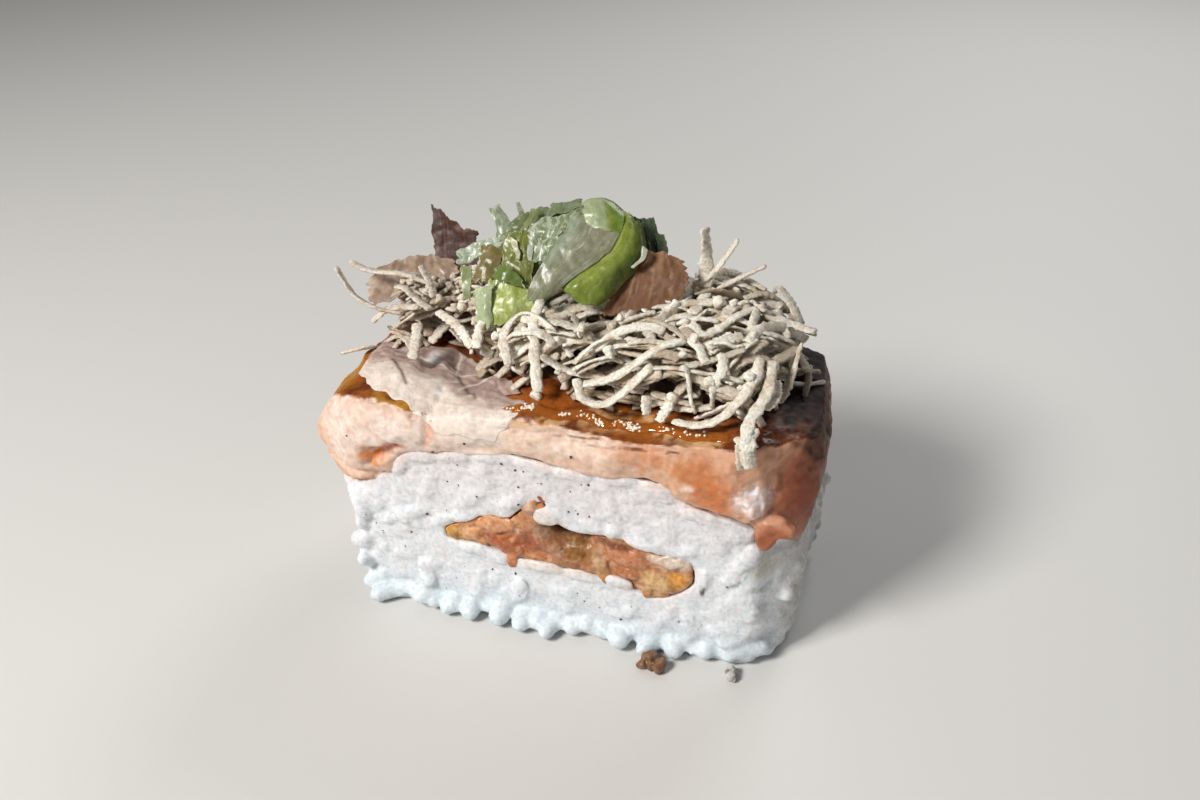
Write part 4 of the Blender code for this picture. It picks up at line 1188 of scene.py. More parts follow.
def add_crumb(bm, centre, size):
    """A rough crumb about size mm across."""
    place = Matrix.Translation(Vector(centre) * MM) @ Matrix.Scale(size * MM / 2, 4)
    made = bmesh.ops.create_icosphere(bm, subdivisions=2, radius=1.0, matrix=place)
    for vert in made["verts"]:
        vert.co += noise.noise_vector(vert.co / (0.6 * size * MM)) * 0.3 * size * MM


def scatter_crumbs(bm, draw, ground, heap):
    """Crumbs of crust over the heap, most of them at its left end."""
    laid = 0
    while laid < CRUMB_COUNT:
        x = draw.uniform(-21, -7) if laid % 3 else draw.uniform(-7, 25)
        spot = np.array([[x, draw.uniform(-11, 10)]])
        if read_map(heap, spot)[0] > 0:
            size = draw.uniform(0.5, 1.3)
            add_crumb(bm, (*spot[0], read_map(ground, spot)[0] + size * 0.2), size)
            laid += 1


def make_shreds():
    """The heap: mounds, shreds laid by rule, listed ones, and crumbs."""
    draw = random.Random(21)
    straight = straight_shred()
    unbent = places(straight) * MM
    bm = bmesh.new()
    add_mounds(bm)
    in_mounds = len(bm.verts)
    mounds = heights_over(BVHTree.FromBMesh(bm), 0.0)
    ground = np.maximum(heights_over(surface_of(salmon), 0.0), mounds)
    heap = heights_over(tree_of("crisp_shreds"), -50.0)
    tone_and_shade = lay_by_rule(bm, draw, straight, unbent, ground, heap)
    print("shreds laid by rule:", len(tone_and_shade))
    for width, *corners in SEEN_SHREDS:
        corners = np.array(corners, float)
        points = np.array([through(corners, share) for share in np.linspace(0, 1, 40)])
        sunk = np.maximum(read_map(ground, points) - points[:, 2], 0)
        points[:, 2] += stiff_over(sunk)
        add_shred(bm, straight, unbent, points, width, 0.42, draw.gauss(0, 0.3))
        tone_and_shade.append(draw.uniform(0.85, 1.0))
    scatter_crumbs(bm, draw, ground, heap)
    # The mounds get the darkest value, painted shade deep in the heap.
    tone_and_shade = np.concatenate([np.full(in_mounds, 0.12), np.repeat(tone_and_shade, len(unbent))])
    tone_and_shade = np.concatenate([tone_and_shade, np.full(len(bm.verts) - len(tone_and_shade), 0.8)])
    piece = as_object("fried_shreds", bm)
    co = places(piece.data)
    rough = lumps(co, 0.4, 3) * 0.09 + lumps(co + 3, 1.7) * 0.04
    move_to(piece.data, co + directions(piece.data) * rough[:, None])
    return piece, tone_and_shade


shreds, shred_tone_and_shade = make_shreds()

# %% [markdown]
# Fried potato or onion is matt: a rough pale crust over a drier, browner inside. Each shred
# has its own tone, from cream to beige. Those low in the heap are darker, partly because
# they have soaked up sauce and partly as painted shade. Fine bumps give the rough crust.

# %% Dry fried crust
def shred_tint(mesh, tone_and_shade):
    """Colours of the shreds from each one's tone and painted shade, with browner patches, and
    painted shade towards the right and back.
    """
    co = places(mesh)
    return tinted(
        plain("#4a3628", co),
        ("#b9a995", step_up(tone_and_shade, 0.1, 0.4)),
        ("#fbf6ea", step_up(tone_and_shade, 0.35, 0.8)),
        ("#bba283", step_up(lumps(co, 2.0, 3), 0.1, 0.6) * 0.6),
        ("#b39f80", step_up(lumps(co + 6, 0.6, 2), 0.1, 0.5) * 0.4),
        # Painted shade: the shreds darken towards the right and back of the heap.
        ("#a79c8c", step_up(co[:, 0] + co[:, 1], 14, 28) * 0.4),
        ("#c4b3a2", step_up(-co[:, 0], 10, 20) * 0.4))


paint(shreds.data, shred_tint(shreds.data, shred_tone_and_shade))
fried_crust = food_material("fried_crust", 0.3, "#d8cfc2", (0.7, 0.95), 0.3,
                            (1.0, 0.8, 0.6), 0.5, Subsurface_Weight=0.2)
finish(shreds, fried_crust, "shreds", "crisp_shreds")

# %% [markdown]
# ## Thin sheets
# The shaved dried fish and the onion leaves are thin sheets. Each starts as a flat grid,
# whose points are then put on a smooth net through a few rows of points, with ripples and
# a ragged outline. Solidify gives the sheet its thickness. The rows are written as the
# photo shows them: across and up from the middle of the garnish, and how much nearer.

# %% A sheet through rows of points
GARNISH = Vector((1.5, 1.0, 44.0))
EYE = camera.location / MM
RIGHT = camera.matrix_world.col[0].to_3d()
UP = camera.matrix_world.col[1].to_3d()


def seen(across, up, nearer):
    """The place that is seen across and up from the garnish's middle, and nearer by mm."""
    ray = GARNISH + RIGHT * across + UP * up - EYE
    return EYE + ray * (1 - nearer / ray.length)


def ripple(place, size, depth):
    """A smooth random shift up to depth mm, which changes over size mm."""
    return noise.noise(Vector(place) / size) * depth


def net(rows, waves=0.3, ragged=0.04):
    """A place function for a rippled sheet through rows of seen points."""
    rows = [[seen(*point) for point in row] for row in rows]
    seed = rows[0][0].x

    def place(along, across):
        fray = ripple((across * 3, seed, 0.5), 0.4, 1) + ripple((across * 3, seed, 4), 0.13, 0.5)
        along += fray * ragged * (2 * along - 1)
        fray = ripple((seed, along * 3, 0.5), 0.4, 1) + ripple((seed, along * 3, 4), 0.13, 0.5)
        across += fray * ragged * (2 * across - 1)
        point = through([through(row, across) for row in rows], along)
        shift = noise.noise_vector(point / 1.6) * waves
        return point + (shift + noise.noise_vector(point / 0.7) * waves / 3)

    return place


def make_sheets(name, thickness, *sheets):
    """One piece of thin closed sheets, each given by its cells and its place function."""
    bm = bmesh.new()
    shares = bm.verts.layers.float_vector.new("shares")
    for number, (cells, place) in enumerate(sheets):
        made = bmesh.ops.create_grid(bm, x_segments=cells[0], y_segments=cells[1], size=0.5)
        for vert in made["verts"]:
            along, across = vert.co.x + 0.5, vert.co.y + 0.5
            vert[shares] = (along, across, number)
            vert.co = Vector(place(along, across)) * MM
    piece = as_object(name, bm)
    wall = piece.modifiers.new("wall", "SOLIDIFY")
    wall.thickness = thickness * MM
    wall.offset = 0
    apply_modifiers(piece)
    return piece


def shares_of(mesh):
    """The shares along and across at each vertex, and the number of its sheet."""
    flat = np.empty(len(mesh.vertices) * 3)
    mesh.attributes["shares"].data.foreach_get("vector", flat)
    return flat.reshape(-1, 3).T


# %% [markdown]
# ## Shaved dried fish
# Dried, smoked tuna is shaved so thin that light comes through: pinkish brown, with fine
# darker fibres along it, a satin shine and curled, torn edges. The large flake has gone
# soft on the moist salmon and follows its front edge. Rays from a line inside the slab
# find the surface there. The sheet is laid a little off it on top, and clings to the cut.

# %% The flake over the salmon's edge
FLAKE_BACK = ((0, -25.4, -8.0), (2, -23.6, -10.6), (6, -17.0, -10.6), (10, -11.0, -8.8),
              (14, -4.4, -2.8))
FLAKE_FRONT = ((0, -24.4, -3.4), (3, -21.0, -0.6), (5, -17.2, 0.6), (8, -12.0, 3.9),
               (11, -5.4, 4.6), (14, -1.8, -0.4))
FLAKE_ROWS = 14
SOFT_FLAKE_WALL = 0.12
DRY_FLAKE_WALL = 0.14


def pivot(x):
    """A point inside the slab at x, below its top front edge."""
    return Vector((x, -9.5, 27.6))


def skin_profile(tree, x):
    """Points round the slab's top front edge at x, with their distance past that edge."""
    points = []
    for angle in np.radians(np.arange(-78, 125, 4)):
        direction = Vector((0, -math.sin(angle), math.cos(angle)))
        hit = tree.ray_cast(pivot(x) * MM, direction)[0]
        if hit:
            points.append((*(hit / MM), angle))
    points = np.array(points)
    steps = np.linalg.norm(np.diff(points[:, :3], axis=0), axis=1)
    gone = np.concatenate([[0], np.cumsum(steps)])
    edge = np.interp(math.radians(42), points[:, 3], gone)
    return gone - edge, points[:, :3]


def on_skin(profile, x, reach):
    """The place on the slab at x that is a reach past its edge, and the way out there."""
    gone, points = profile
    spot = Vector([np.interp(reach, gone, points[:, axis]) for axis in range(3)])
    spot.x = x
    return spot, (spot - pivot(x)).normalized()


def make_front_flake():
    """The large flake on the salmon's left front, with its torn right tip."""
    tree = surface_of(salmon)
    profiles = {}
    back, front = np.array(FLAKE_BACK), np.array(FLAKE_FRONT)

    def place(along, across):
        row = along * FLAKE_ROWS
        torn = ripple((row * 1.1, 3.3, 0.2), 1.1, 1.0) * across
        frayed = ripple((across * 6.0, 8.8, 0.2), 0.7, 2.0) * step_up(along, 0.75, 1.0)
        x = np.interp(row, back[:, 0], back[:, 1]) * (1 - across)
        x += np.interp(row, front[:, 0], front[:, 1]) * across + frayed
        reach = np.interp(row, back[:, 0], back[:, 2]) * (1 - across)
        reach += (np.interp(row, front[:, 0], front[:, 2]) + torn) * across
        column = round(x * 4)
        if column not in profiles:
            profiles[column] = skin_profile(tree, column / 4)
        spot, outward = on_skin(profiles[column], x, reach)
        lift = 0.35 + 0.3 * math.sin(row * 1.1 + across * 4) + ripple(spot, 2.2, 0.6)
        lift += ripple((spot.x * 0.5, spot.y * 2 + spot.z * 2, 4), 1.0, 0.16)
        clings = step_up(across, 0.55, 0.95)
        return spot + outward * (max(0.1, lift) * (1 - clings) - 0.02 * clings)

    piece = make_sheets("flake_over_edge", SOFT_FLAKE_WALL, ((150, 90), place))
    soften(piece, 3)
    apply_modifiers(piece)
    return piece


# %% The other flakes
FLAKE_NETS = {
    "flake_back": (
        ((-17.5, 5.2, -14.6), (-16.2, 4.4, -14.0), (-14.6, 3.2, -13.8), (-12.6, 2.3, -13.4)),
        ((-17.5, 2.6, -14.8), (-16.0, 2.0, -14.6), (-14.4, 1.4, -14.2), (-12.6, 0.8, -13.6)),
        ((-17.3, -0.4, -15.0), (-15.8, -0.8, -14.8), (-14.2, -1.2, -14.6), (-12.5, -1.6, -14.0)),
        ((-17.0, -4.6, -15.2), (-15.6, -4.8, -15.2), (-14.2, -5.0, -15.0), (-12.9, -5.2, -14.8)),
    ),
    "flake_left": (
        ((-23.6, -1.6, -13.0), (-19.5, -0.2, -13.4), (-15.2, -0.5, -12.4)),
        ((-24.5, -3.3, -12.6), (-19.5, -2.2, -12.0), (-14.8, -2.0, -11.6)),
        ((-24.3, -5.6, -12.8), (-20.0, -4.6, -11.8), (-15.6, -4.0, -11.2)),
    ),
    "flake_right": (
        ((3.2, -0.8, -1.4), (6.6, 0.5, -1.2), (10.2, -0.9, -0.2)),
        ((2.4, -3.8, -0.6), (6.2, -2.8, -0.2), (10.5, -2.9, 0.3)),
        ((1.0, -7.0, -0.6), (5.2, -6.4, -0.4), (10.0, -4.8, 0.2)),
    ),
}
flakes = {"flake_front": make_front_flake()}
for name, rows in FLAKE_NETS.items():
    sheet = ((64, 64), net(rows, 0.14, 0.07))
    flakes[name] = make_sheets("shaved_" + name, DRY_FLAKE_WALL, sheet)
print("flakes:", list(flakes))

# %% Smoked and dried fish
FLAKE_COLOURS = {
    "flake_front": ("#b0978d", "#8f756d", "#d8c4bb"),
    "flake_back": ("#4a2f26", "#2f1b16", "#78574b"),
    "flake_left": ("#a38c78", "#7b6552", "#c9b8a4"),
    "flake_right": ("#7f5a40", "#5f412c", "#a88562"),
}
FLAKE_CREASE_SHADES = (((-12.9, -6.4), (-10.7, -9.0)), ((-10.7, -9.0), (-8.6, -11.2)),
                 ((-21.0, -6.5), (-17.4, -10.4)))
FLAKE_VEINS = (((-13.1, -6.5), (-9.4, -5.5)), ((-11.7, -9.1), (-7.1, -6.3)),
               ((-13.1, -6.5), (-18.5, -4.6)), ((-12.6, -7.6), (-17.2, -9.9)),
               ((-13.0, -6.4), (-14.6, -1.6)))


def flake_tint(mesh, middle, dark, light):
    """Fibres along the sheet, and darker and paler blotches."""
    co = places(mesh)
    along, across, _ = shares_of(mesh)
    fibre = lumps(np.column_stack([along * 2.0, across * 22.0, co[:, 0] * 0]), 1.0, 2)
    blotch = lumps(co, 2.4, 2)
    return tinted(
        plain(middle, co),
        (dark, step_up(fibre, 0.0, 0.5) * 0.6),
        (light, step_up(-fibre, 0.15, 0.55) * 0.6),
        (dark, step_up(blotch, 0.2, 0.6) * 0.5),
        (light, step_up(-blotch, 0.25, 0.6) * 0.5))


def front_flake_tint(mesh):
    """The front flake: mauve on top, clear and pale where it clings to the cut side, with painted
    shade in its creases and two painted glints.
    """
    co = places(mesh)
    waved = co + shifts(co, 1.5) * 0.3
    clear = step_up(shares_of(mesh)[1] + lumps(co, 3.0) * 0.15, 0.4, 0.8)
    return tinted(
        flake_tint(mesh, *FLAKE_COLOURS["flake_front"]),
        ("#fbe5d6", clear * 0.95),
        # Painted shade: dark lines in the flake's creases.
        *(("#57413a", near_line(co[:, :2], *line, 0.22) * 0.8) for line in FLAKE_CREASE_SHADES),
        *(("#f1e8e2", near_line(waved[:, :2], *line, 0.14) * 0.7) for line in FLAKE_VEINS),
        # Painted highlights: two pale glints on the flake's sheen.
        ("#e9e4e6", patch(waved, (-16.8, -3.9, 31.8), (1.1, 1.7, 3.0)) * 0.8),
        ("#fbfafc", patch(waved, (-13.8, -9.8, 31.5), (0.5, 0.7, 3.0)) * 0.9))


fish = food_material("shaved_dried_fish", 0.7, "#ece7e3", (0.35, 0.6), 0.12,
                     (1.0, 0.6, 0.45), 0.6, Subsurface_Weight=0.3, IOR=1.42)
for name, flake in flakes.items():
    if name == "flake_front":
        paint(flake.data, front_flake_tint(flake.data))
    else:
        paint(flake.data, flake_tint(flake.data, *FLAKE_COLOURS[name]))
    finish(flake, fish, "dried_fish", name)

# %% [markdown]
# ## Spring onion
# A slanting cut through the green part gives a long oval slice. Its green skin is seen from
# the side as a broad band, a pale roll closes it at the top, and the watery, greyish inner
# leaf fills it. Thin inner leaves lie beside it: glossy pale sheets behind, olive
# blades at the left, and a yellow-green piece at the foot with a dark green fold.

# %% The green band and the flesh in it
ROLL_NET = (
    ((-0.9, 4.5, -2.6), (0.1, 5.2, -2.6), (1.5, 5.2, -2.6), (2.7, 4.2, -2.6)),
    ((-1.0, 5.4, -1.0), (0.3, 6.0, -1.0), (1.8, 5.8, -1.0), (3.3, 4.7, -1.2)),
    ((-0.9, 4.4, 0.1), (0.4, 4.7, 0.5), (2.0, 4.4, 0.5), (3.5, 3.7, 0.2)),
    ((-0.6, 3.0, 0.3), (0.8, 2.8, 0.6), (2.2, 2.4, 0.8), (3.4, 2.3, 0.6)),
)
BAND_NET = (
    ((2.6, 4.4, -0.6), (3.9, 4.5, -0.6), (4.9, 3.5, -1.2), (5.5, 2.6, -2.4)),
    ((2.8, 2.4, 0.4), (4.0, 2.3, 0.7), (5.0, 1.8, 0.2), (5.8, 0.9, -1.6)),
    ((1.8, 0.4, 0.7), (3.0, 0.1, 1.3), (4.5, 0.0, 0.9), (5.4, -0.4, -0.8)),
    ((-0.8, -1.3, 0.8), (1.1, -1.6, 1.6), (3.0, -1.7, 1.3), (4.6, -1.7, -0.4)),
    ((-2.3, -2.4, 0.8), (-0.2, -2.9, 1.7), (1.8, -3.1, 1.4), (3.7, -2.9, 0.0)),
    ((-3.3, -3.5, 0.7), (-1.6, -4.1, 1.4), (1.0, -4.4, 1.3), (2.9, -3.9, 0.2)),
    ((-2.4, -4.4, 0.6), (-1.0, -5.5, 0.8), (0.3, -5.6, 0.8), (1.8, -4.8, 0.0)),
)
SLIVER_NET = (
    ((5.6, 0.8, 0.6), (6.1, 0.4, 0.4)),
    ((5.3, -0.5, 0.6), (5.8, -0.6, 0.5)),
    ((4.3, -1.4, 0.8), (4.6, -1.6, 0.8)),
)
FACE_NET = (
    ((-2.0, 4.2, -0.3), (0.8, 3.9, 0.1), (3.2, 3.2, 0.3)),
    ((-3.0, 2.3, 0.2), (-0.2, 1.7, 0.6), (2.6, 0.9, 0.8)),
    ((-4.3, 0.4, 0.4), (-1.8, 0.0, 0.9), (0.7, -0.8, 1.1)),
    ((-5.7, -1.6, 0.5), (-3.8, -2.0, 1.0), (-1.7, -2.4, 1.1)),
    ((-6.7, -3.4, 0.4), (-5.3, -3.9, 0.8), (-3.4, -3.7, 0.9)),
    ((-7.0, -4.7, 0.2), (-6.2, -5.3, 0.4), (-5.0, -4.7, 0.4)),
)
SKIN_WALL = 0.45
FLESH_WALL = 0.8
curl = make_sheets("onion_green_band", SKIN_WALL, ((80, 56), net(BAND_NET, 0.14, 0.03)),
                   ((40, 56), net(ROLL_NET, 0.14, 0.03)), ((16, 6), net(SLIVER_NET, 0.1)))
core = make_sheets("onion_flesh", FLESH_WALL, ((80, 48), net(FACE_NET, 0.14, 0.05)))

# %% The leaves, strips and bits
LEAF_NETS = {
    "onion_leaf_back": (
        (((-6.6, 3.3, -1.6), (-4.6, 4.0, -1.2), (-2.4, 4.5, -0.8), (-0.9, 5.0, -0.8)),
         ((-6.8, 2.0, -1.2), (-4.9, 2.5, -0.6), (-2.7, 3.2, -0.1), (-1.2, 3.7, -0.2)),
         ((-6.6, 0.6, -1.2), (-4.9, 0.6, -0.3), (-3.5, 1.6, 0.2), (-2.0, 2.4, 0.1))),
        (((-6.9, 2.0, -0.8), (-5.3, 1.5, -0.2), (-3.2, 2.5, 0.2)),
         ((-6.8, 0.5, -0.7), (-5.3, 0.3, 0.1), (-3.7, 1.0, 0.4)),
         ((-6.8, -0.6, -0.9), (-5.6, -0.9, 0.0), (-4.0, -0.4, 0.3))),
        (((-9.4, 3.0, -4.2), (-6.6, 4.8, -4.0), (-3.2, 5.2, -3.8), (-0.7, 5.6, -3.4)),
         ((-10.0, 0.0, -3.6), (-6.6, 0.3, -2.8), (-3.2, 2.0, -2.2), (-0.7, 3.7, -2.0)),
         ((-9.6, -3.4, -3.4), (-6.6, -3.8, -2.4), (-4.1, -3.4, -1.6), (-1.6, -1.3, -1.0))),
        (((-4.4, 5.5, -3.0), (-3.0, 5.7, -2.8), (-1.2, 5.9, -2.6)),
         ((-5.0, 4.0, -2.4), (-3.0, 4.5, -2.0), (-0.9, 5.1, -1.6))),
    ),
    "onion_leaf_middle": (
        (((-9.6, 2.0, -2.6), (-8.0, 2.7, -2.2), (-6.5, 3.2, -2.2)),
         ((-9.8, 0.0, -2.2), (-8.1, -0.2, -1.6), (-6.6, 0.2, -1.6)),
         ((-9.2, -3.1, -2.0), (-8.0, -3.6, -1.4), (-6.4, -3.6, -1.4))),
        (((-8.9, 1.8, -1.6), (-8.2, 1.6, -1.4)),
         ((-8.7, 0.5, -1.3), (-8.0, 0.3, -1.2)),
         ((-8.4, -0.6, -1.2), (-8.0, -0.7, -1.2))),
        (((-12.2, 0.9, -3.4), (-11.2, 1.0, -3.0), (-10.0, 0.6, -2.8)),
         ((-12.3, -0.6, -3.0), (-11.0, -0.9, -2.4), (-10.0, -1.0, -2.4)),
         ((-13.2, -3.0, -3.0), (-12.0, -3.2, -2.4), (-10.6, -3.0, -2.2))),
        (((-7.0, 0.9, -0.4), (-6.4, 0.8, -0.4)),
         ((-7.0, 0.1, -0.3), (-6.4, 0.1, -0.3)),
         ((-6.9, -0.6, -0.4), (-6.5, -0.7, -0.4))),
        (((-6.8, 4.9, -2.4), (-6.3, 5.0, -2.4)),
         ((-7.1, 3.8, -2.2), (-6.6, 3.7, -2.2)),
         ((-7.6, 2.7, -2.0), (-7.1, 2.6, -2.0))),
    ),
    "onion_leaf_front": (
        (((-11.2, -2.9, -2.2), (-9.1, -3.2, -1.6), (-6.6, -3.6, -1.2)),
         ((-12.2, -5.6, -2.2), (-9.2, -5.4, -1.0), (-6.2, -5.6, -0.8)),
         ((-12.4, -8.3, -2.4), (-9.6, -7.8, -1.4), (-6.6, -6.9, -1.4))),
        (((-10.6, -1.5, -1.6), (-9.2, -1.4, -1.0), (-7.6, -2.9, -0.6)),
         ((-10.8, -2.7, -1.4), (-9.3, -3.2, -0.6), (-7.4, -3.8, -0.4))),
        (((-12.8, -3.6, -1.8), (-11.8, -3.7, -1.4), (-10.7, -3.0, -1.4)),
         ((-12.8, -5.4, -1.8), (-11.8, -5.4, -1.2), (-10.9, -4.8, -1.2)),
         ((-12.4, -8.2, -2.2), (-11.6, -8.2, -1.6), (-11.0, -7.5, -1.6))),
        (((-14.4, -1.4, -3.6), (-13.2, -1.2, -3.4)),
         ((-14.2, -3.1, -3.2), (-13.2, -3.1, -3.0)),
         ((-14.2, -4.9, -3.2), (-13.3, -5.1, -3.0))),
    ),
    "onion_strip_left": (
        (((-14.8, 0.4, -7.4), (-13.4, 1.0, -7.2), (-11.7, 1.6, -6.6), (-9.4, 1.9, -5.6)),
         ((-14.7, -1.1, -7.0), (-13.4, -0.8, -6.8), (-11.7, 0.0, -6.2), (-9.4, 0.8, -5.2))),
    ),
    "onion_strip_up": (
        (((-11.3, 4.8, -6.8), (-10.2, 5.3, -6.8)),
         ((-10.7, 3.7, -6.6), (-9.4, 4.1, -6.6)),
         ((-10.4, 1.8, -6.4), (-8.6, 2.6, -6.4))),
        (((-8.4, 5.8, -7.0), (-8.0, 5.7, -7.0)),
         ((-8.2, 5.0, -7.0), (-7.6, 5.0, -7.0)),
         ((-7.9, 3.8, -6.8), (-7.3, 3.8, -6.8))),
    ),
    "onion_bit_right": (
        (((3.7, 4.3, -3.2), (5.0, 3.9, -3.4), (6.0, 3.2, -3.6)),
         ((4.6, 2.3, -3.2), (6.2, 2.2, -3.4), (7.4, 1.9, -3.8)),
         ((5.0, 0.2, -3.0), (6.6, 0.0, -3.2), (7.8, -0.9, -3.8))),
        (((5.4, 3.7, -3.4), (6.7, 3.9, -3.6)),
         ((6.0, 2.4, -3.2), (7.2, 2.2, -3.6)),
         ((6.2, 1.4, -3.2), (7.2, 1.0, -3.6))),
        (((6.9, 2.1, -3.4), (8.1, 2.1, -3.8)),
         ((7.2, 0.8, -3.2), (8.3, 0.6, -3.8)),
         ((7.2, -1.0, -3.2), (8.0, -1.2, -3.8))),
    ),
}
LEAF_WALL = 0.25
leaves = {}
for name, nets in LEAF_NETS.items():
    sheets = [((44, 14 * len(rows[0])), net(rows, 0.25, 0.08)) for rows in nets]
    leaves[name] = make_sheets(name + "_layers", LEAF_WALL, *sheets)
print("onion leaves:", list(leaves))

# %% [markdown]
# Onion leaf is smooth and full of water: light goes in and comes out coloured, and its thin
# waxy skin shines, and that sheen is also painted on as pale streaks and fine white lines.
# Veins run along it. The green is deep at the outer wall and turns to yellow and to white
# towards the cut rims. On the green band, shade and light are painted as deeper and brighter
# greens.

# %% Fresh onion leaf
LEAF_COLOURS = {
    "onion_leaf_back": ("#929e76", "#6b7850", "#eef1e6"),
    "onion_leaf_middle": ("#868c44", "#5f6a2c", "#c3c690"),
    "onion_leaf_front": ("#b8c46a", "#98a84c", "#e2e8b8"),
    "onion_strip_left": ("#b4bfa8", "#95a488", "#dfe7da"),
    "onion_strip_up": ("#a3ad90", "#7c8a66", "#d3dbc9"),
    "onion_bit_right": ("#2c3d19", "#1e2b0d", "#5c7249"),
}
SHEET_COLOURS = {
    ("onion_leaf_back", 2): "#6a7645",
    ("onion_leaf_back", 3): "#7d8a66",
    ("onion_leaf_middle", 1): "#dfdcbc",
    ("onion_leaf_middle", 2): "#8d7850",
    ("onion_leaf_middle", 3): "#e6eee2",
    ("onion_leaf_middle", 4): "#a9b07c",
    ("onion_leaf_front", 1): "#46641a",
    ("onion_leaf_front", 2): "#c9d5b6",
    ("onion_leaf_front", 3): "#98a27e",
    ("onion_bit_right", 1): "#66785a",
    ("onion_bit_right", 2): "#7d8a68",
}


def rim_of(along, across):
    """How near each vertex is to a sheet's rim: 0 in the middle, 1 on the rim."""
    return np.maximum(np.abs(2 * along - 1), np.abs(2 * across - 1))


def veined(mesh, middle, dark, light, count, highlight_lines=0.6):
    """Leaf colours with veins, pale streaks and fine white lines along it painted as the sheen of
    the wet skin, and a paler rim.
    """
    co = places(mesh)
    along, across, _ = shares_of(mesh)
    vein = np.sin(across * count * 2 * math.pi + lumps(co, 3.0) * 1.2)
    streak = lumps(np.column_stack([along * 2.4, across * 16.0, co[:, 0] * 0.1]), 1.0, 2)
    line = lumps(np.column_stack([along * 1.6, across * 11.0, co[:, 2] * 0.15]) + 7, 1.0, 2)
    return tinted(
        plain(middle, co),
        (dark, step_up(vein, 0.2, 1.0) * 0.3),
        (dark, step_up(lumps(co + 5, 2.0, 2), 0.1, 0.6) * 0.5),
        # Painted highlights: pale streaks and fine white lines stand for the wet skin's sheen.
        (light, step_up(streak, 0.15, 0.5) * 0.45),
        ("#f6faf2", step_up(-np.abs(line), -0.07, 0.0) * highlight_lines),
        (light, step_up(rim_of(along, across), 0.9, 1.0) * 0.4))


def curl_tint(mesh):
    """Deep green at the right side and top, painted as shade, a brighter green at the foot where
    the light falls, and pale on the roll.
    """
    along, across, sheet = shares_of(mesh)
    return tinted(
        veined(mesh, "#94a142", "#6b7c2c", "#b5c277", 9, 0.15),
        # Painted shade and light on the band: deeper green at its right side, brighter at its
        # foot.
        ("#5e722a", step_up(across, 0.4, 0.8) * (sheet == 0) * 0.7),
        ("#8ca23f", step_up(along, 0.6, 0.95) * (sheet == 0) * 0.4),
        ("#b9c4a0", (1 - step_up(across, 0.45, 0.7)) * (sheet == 1) * 0.8),
        ("#7c9a3c", step_up(across, 0.6, 0.75) * (sheet == 1) * 0.7),
        ("#dfe3d0", (sheet == 2) * 1.0))


def core_tint(mesh):
    """Greyish, watery flesh with a paler painted sheen on its left part, greener towards its edge.
    """
    along, across, _ = shares_of(mesh)
    # Painted highlight: a paler sheen on the flesh's left part.
    wet = step_up(-across, -0.35, -0.05) * step_up(-along, -0.8, -0.3)
    return tinted(
        veined(mesh, "#9b9a80", "#808264", "#bdbfaa", 5, 0.3),
        ("#b4c2ac", wet * 0.7),
        ("#7d8a55", step_up(rim_of(along, across), 0.85, 1.0) * 0.5))


def leaf_tint(name, mesh):
    """A leaf's own three colours, with one more where a sheet of it looks different."""
    sheet = shares_of(mesh)[2]
    return tinted(veined(mesh, *LEAF_COLOURS[name], 5),
                  *((code, (sheet == number) * 0.75)
                    for (owner, number), code in SHEET_COLOURS.items() if owner == name))


leaf = food_material("fresh_onion_leaf", 0.9, "#dfe1d6", (0.12, 0.4), 0.12,
                     (1.0, 1.0, 0.5), 0.6, Subsurface_Weight=0.2, IOR=1.38,
                     Transmission_Weight=0.25)
paint(curl.data, curl_tint(curl.data))
finish(curl, leaf, "onion_green", "onion_curl")
paint(core.data, core_tint(core.data))
finish(core, leaf, "onion_pale", "onion_core")
for name, piece in leaves.items():
    paint(piece.data, leaf_tint(name, piece.data))
    finish(piece, leaf, "onion_green" if "bit" in name else "onion_pale", name)

# %% [markdown]
# ## Sauce, bubbles, specks and crumbs
# The brushed sauce has run to the top front edge and stands there as a clear amber bead with
# a row of tiny bubbles. It is a thin sheet over the salmon's edge, found with the same rays
# as the front flake, and the bubbles are small spheres in loose clumps on it. Pepper-like
# specks dot the cut, and two crumbs have fallen at the base. Each speck and crumb is a small
# ball that a noise has made rough.

# %% The bead of sauce
BUBBLE_COUNT = 150
BEAD_WALL = 0.2


def make_sauce():
    """A bead of clear sauce along the top front edge, with bubbles standing in it."""
    draw = random.Random(5)
    tree = surface_of(salmon)

    def on_edge(x, reach, lift):
        spot, outward = on_skin(skin_profile(tree, x), x, reach)
        return spot + outward * lift

    def place(along, across):
        x = -9.0 + 29.0 * along
        reach = -1.5 + 1.6 * across + ripple((x, 0.3, 0.7), 3.0, 0.7)
        ends = math.sin(math.pi * min(1.0, max(0.0, along))) ** 0.3
        return on_edge(x, reach, -0.14 + 0.45 * ends * math.sin(math.pi * across) ** 0.7)

    piece = make_sheets("sauce_bead", BEAD_WALL, ((120, 12), place))
    bm = bmesh.new()
    laid = 0
    while laid < BUBBLE_COUNT:
        x = draw.uniform(-3.0, 10.0) if draw.random() < 0.7 else draw.uniform(-9, 19)
        if ripple((x, 0.3, 5.7), 0.9, 1.0) < -0.05:
            continue
        laid += 1
        reach = -0.6 + ripple((x, 0.3, 0.7), 3.0, 0.7) + draw.gauss(0, 0.2)
        shape = Matrix.Translation(on_edge(x, reach, 0.3) * MM)
        bmesh.ops.create_icosphere(bm, subdivisions=2, radius=draw.uniform(0.08, 0.2) * MM,
                                   matrix=shape)
    return piece, as_object("sauce_bubbles", bm)


sauce, bubbles = make_sauce()
# Thick sauce is clear, so it shines and shows the seared salmon through it.
clear_sauce = new_material("clear_amber_sauce", "#e08c36", Roughness=0.08, IOR=1.42,
                           Transmission_Weight=0.7)
finish(sauce, clear_sauce, "salmon")
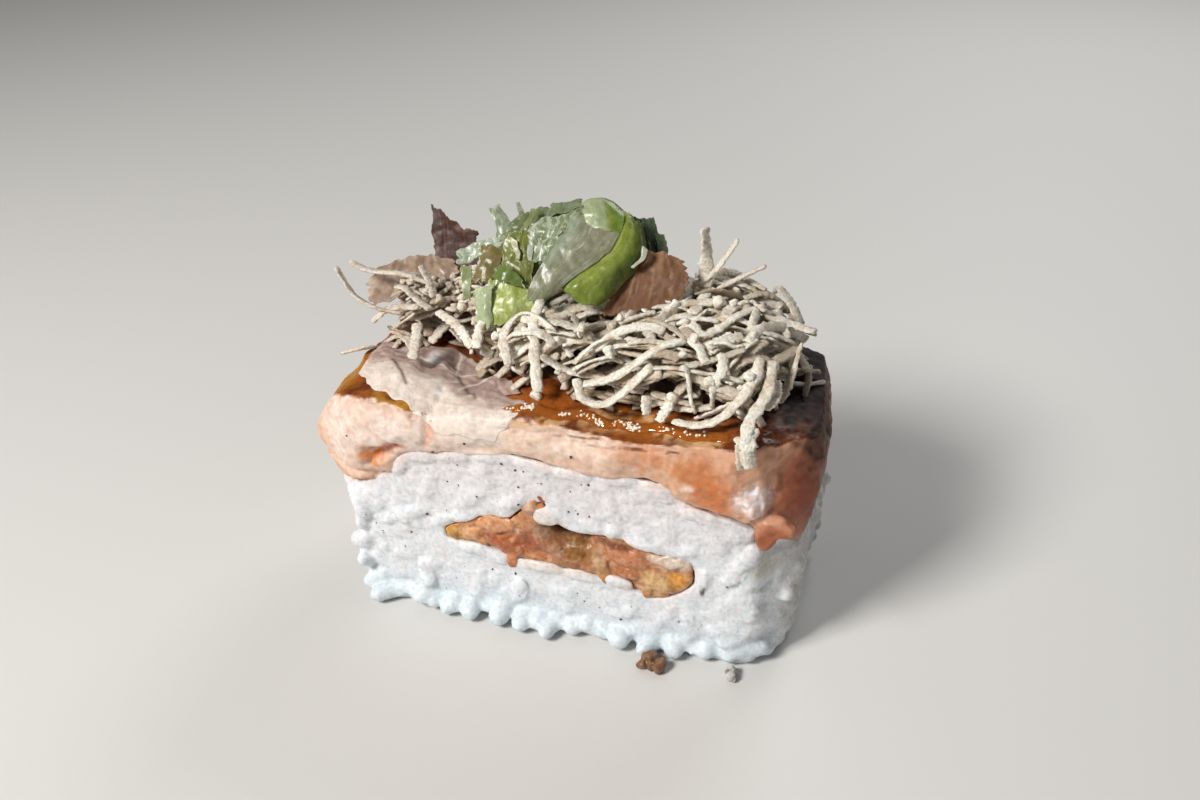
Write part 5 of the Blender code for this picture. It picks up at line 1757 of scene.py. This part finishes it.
# Foam scatters light, so its bubbles are pale and glossy; their pale colour also stands for the
# glints along the bead, a painted highlight.
foam_and_glints = new_material("foam_with_painted_glints", "#f7ead8", Roughness=0.1, IOR=1.4)
finish(bubbles, foam_and_glints, "salmon")


# %% Specks on the cut face
SPECKS = ((-9.2, 26.8), (-10.9, 22.9), (-12.5, 20.2), (-15.7, 14.9), (-18.3, 11.4),
          (-3.7, 18.9), (-3.6, 21.2), (3.3, 27.3), (4.8, 23.2), (-8.8, 19.0), (-5.3, 24.3),
          (-8.1, 7.8), (-5.1, 7.8), (-23.7, 25.7), (2.3, 19.0), (3.4, 18.9), (4.7, 18.7),
          (-3.8, 23.5), (-2.8, 23.6), (20.5, 12.0), (15.0, 5.2), (8.0, 4.0), (-13.5, 24.6))


FAINT_SPECKS = 40


def make_specks():
    """Tiny dark flecks on the rice and the salmon, where rays from the front find them."""
    draw = random.Random(9)
    trees = [surface_of(piece) for piece in (rice, salmon)]
    spots = list(SPECKS) + [(draw.uniform(-24, 22), draw.uniform(3, 24))
                            for _ in range(FAINT_SPECKS)]
    bm = bmesh.new()
    for number, (x, z) in enumerate(spots):
        start = Vector((x, -30.0, z)) * MM
        hits = [tree.ray_cast(start, Vector((0, 1, 0)))[0] for tree in trees]
        hits = [hit.y / MM for hit in hits if hit]
        if hits:
            size = draw.uniform(0.2, 0.36) if number < len(SPECKS) else draw.uniform(0.1, 0.2)
            add_crumb(bm, (x, min(hits), z), size)
    return as_object("dark_specks", bm)


specks = make_specks()
# Burnt crust is dry and rough, so the specks are dark and matt.
finish(specks, new_material("burnt_crust_specks", "#4a3a30", Roughness=0.8), "rice")


# %% Crumbs at the base
BASE_CRUMBS = (((12.2, -15.6, 0.9), 2.2), ((13.4, -16.2, 0.7), 1.7), ((11.4, -16.4, 0.5), 1.3),
               ((21.6, -14.8, 0.8), 1.5), ((21.9, -15.6, 0.5), 1.2))


def make_crumbs():
    """A brown crumb of sauce-soaked crust and a smaller pale one, in front of the base."""
    bm = bmesh.new()
    for spot, size in BASE_CRUMBS:
        add_crumb(bm, spot, size)
    piece = as_object("base_crumbs", bm)
    one_skin(piece, 0.12, 1)
    co = places(piece.data)
    co[:, 2] = np.maximum(co[:, 2] + lumps(co, 0.6, 2) * 0.12, 0.02)
    move_to(piece.data, co)
    return piece


def crumb_tint(mesh):
    """Brown for the crumbs at the left, pale for those at the right, with dark spots."""
    co = places(mesh)
    return tinted(
        plain("#8d6a4c", co),
        ("#c9ccc6", step_up(co[:, 0], 17, 18)),
        ("#5d4029", step_up(lumps(co, 0.7, 2), 0.1, 0.5) * 0.7))


crumbs = make_crumbs()
paint(crumbs.data, crumb_tint(crumbs.data))
finish(crumbs, fish_in_sauce, "filling")
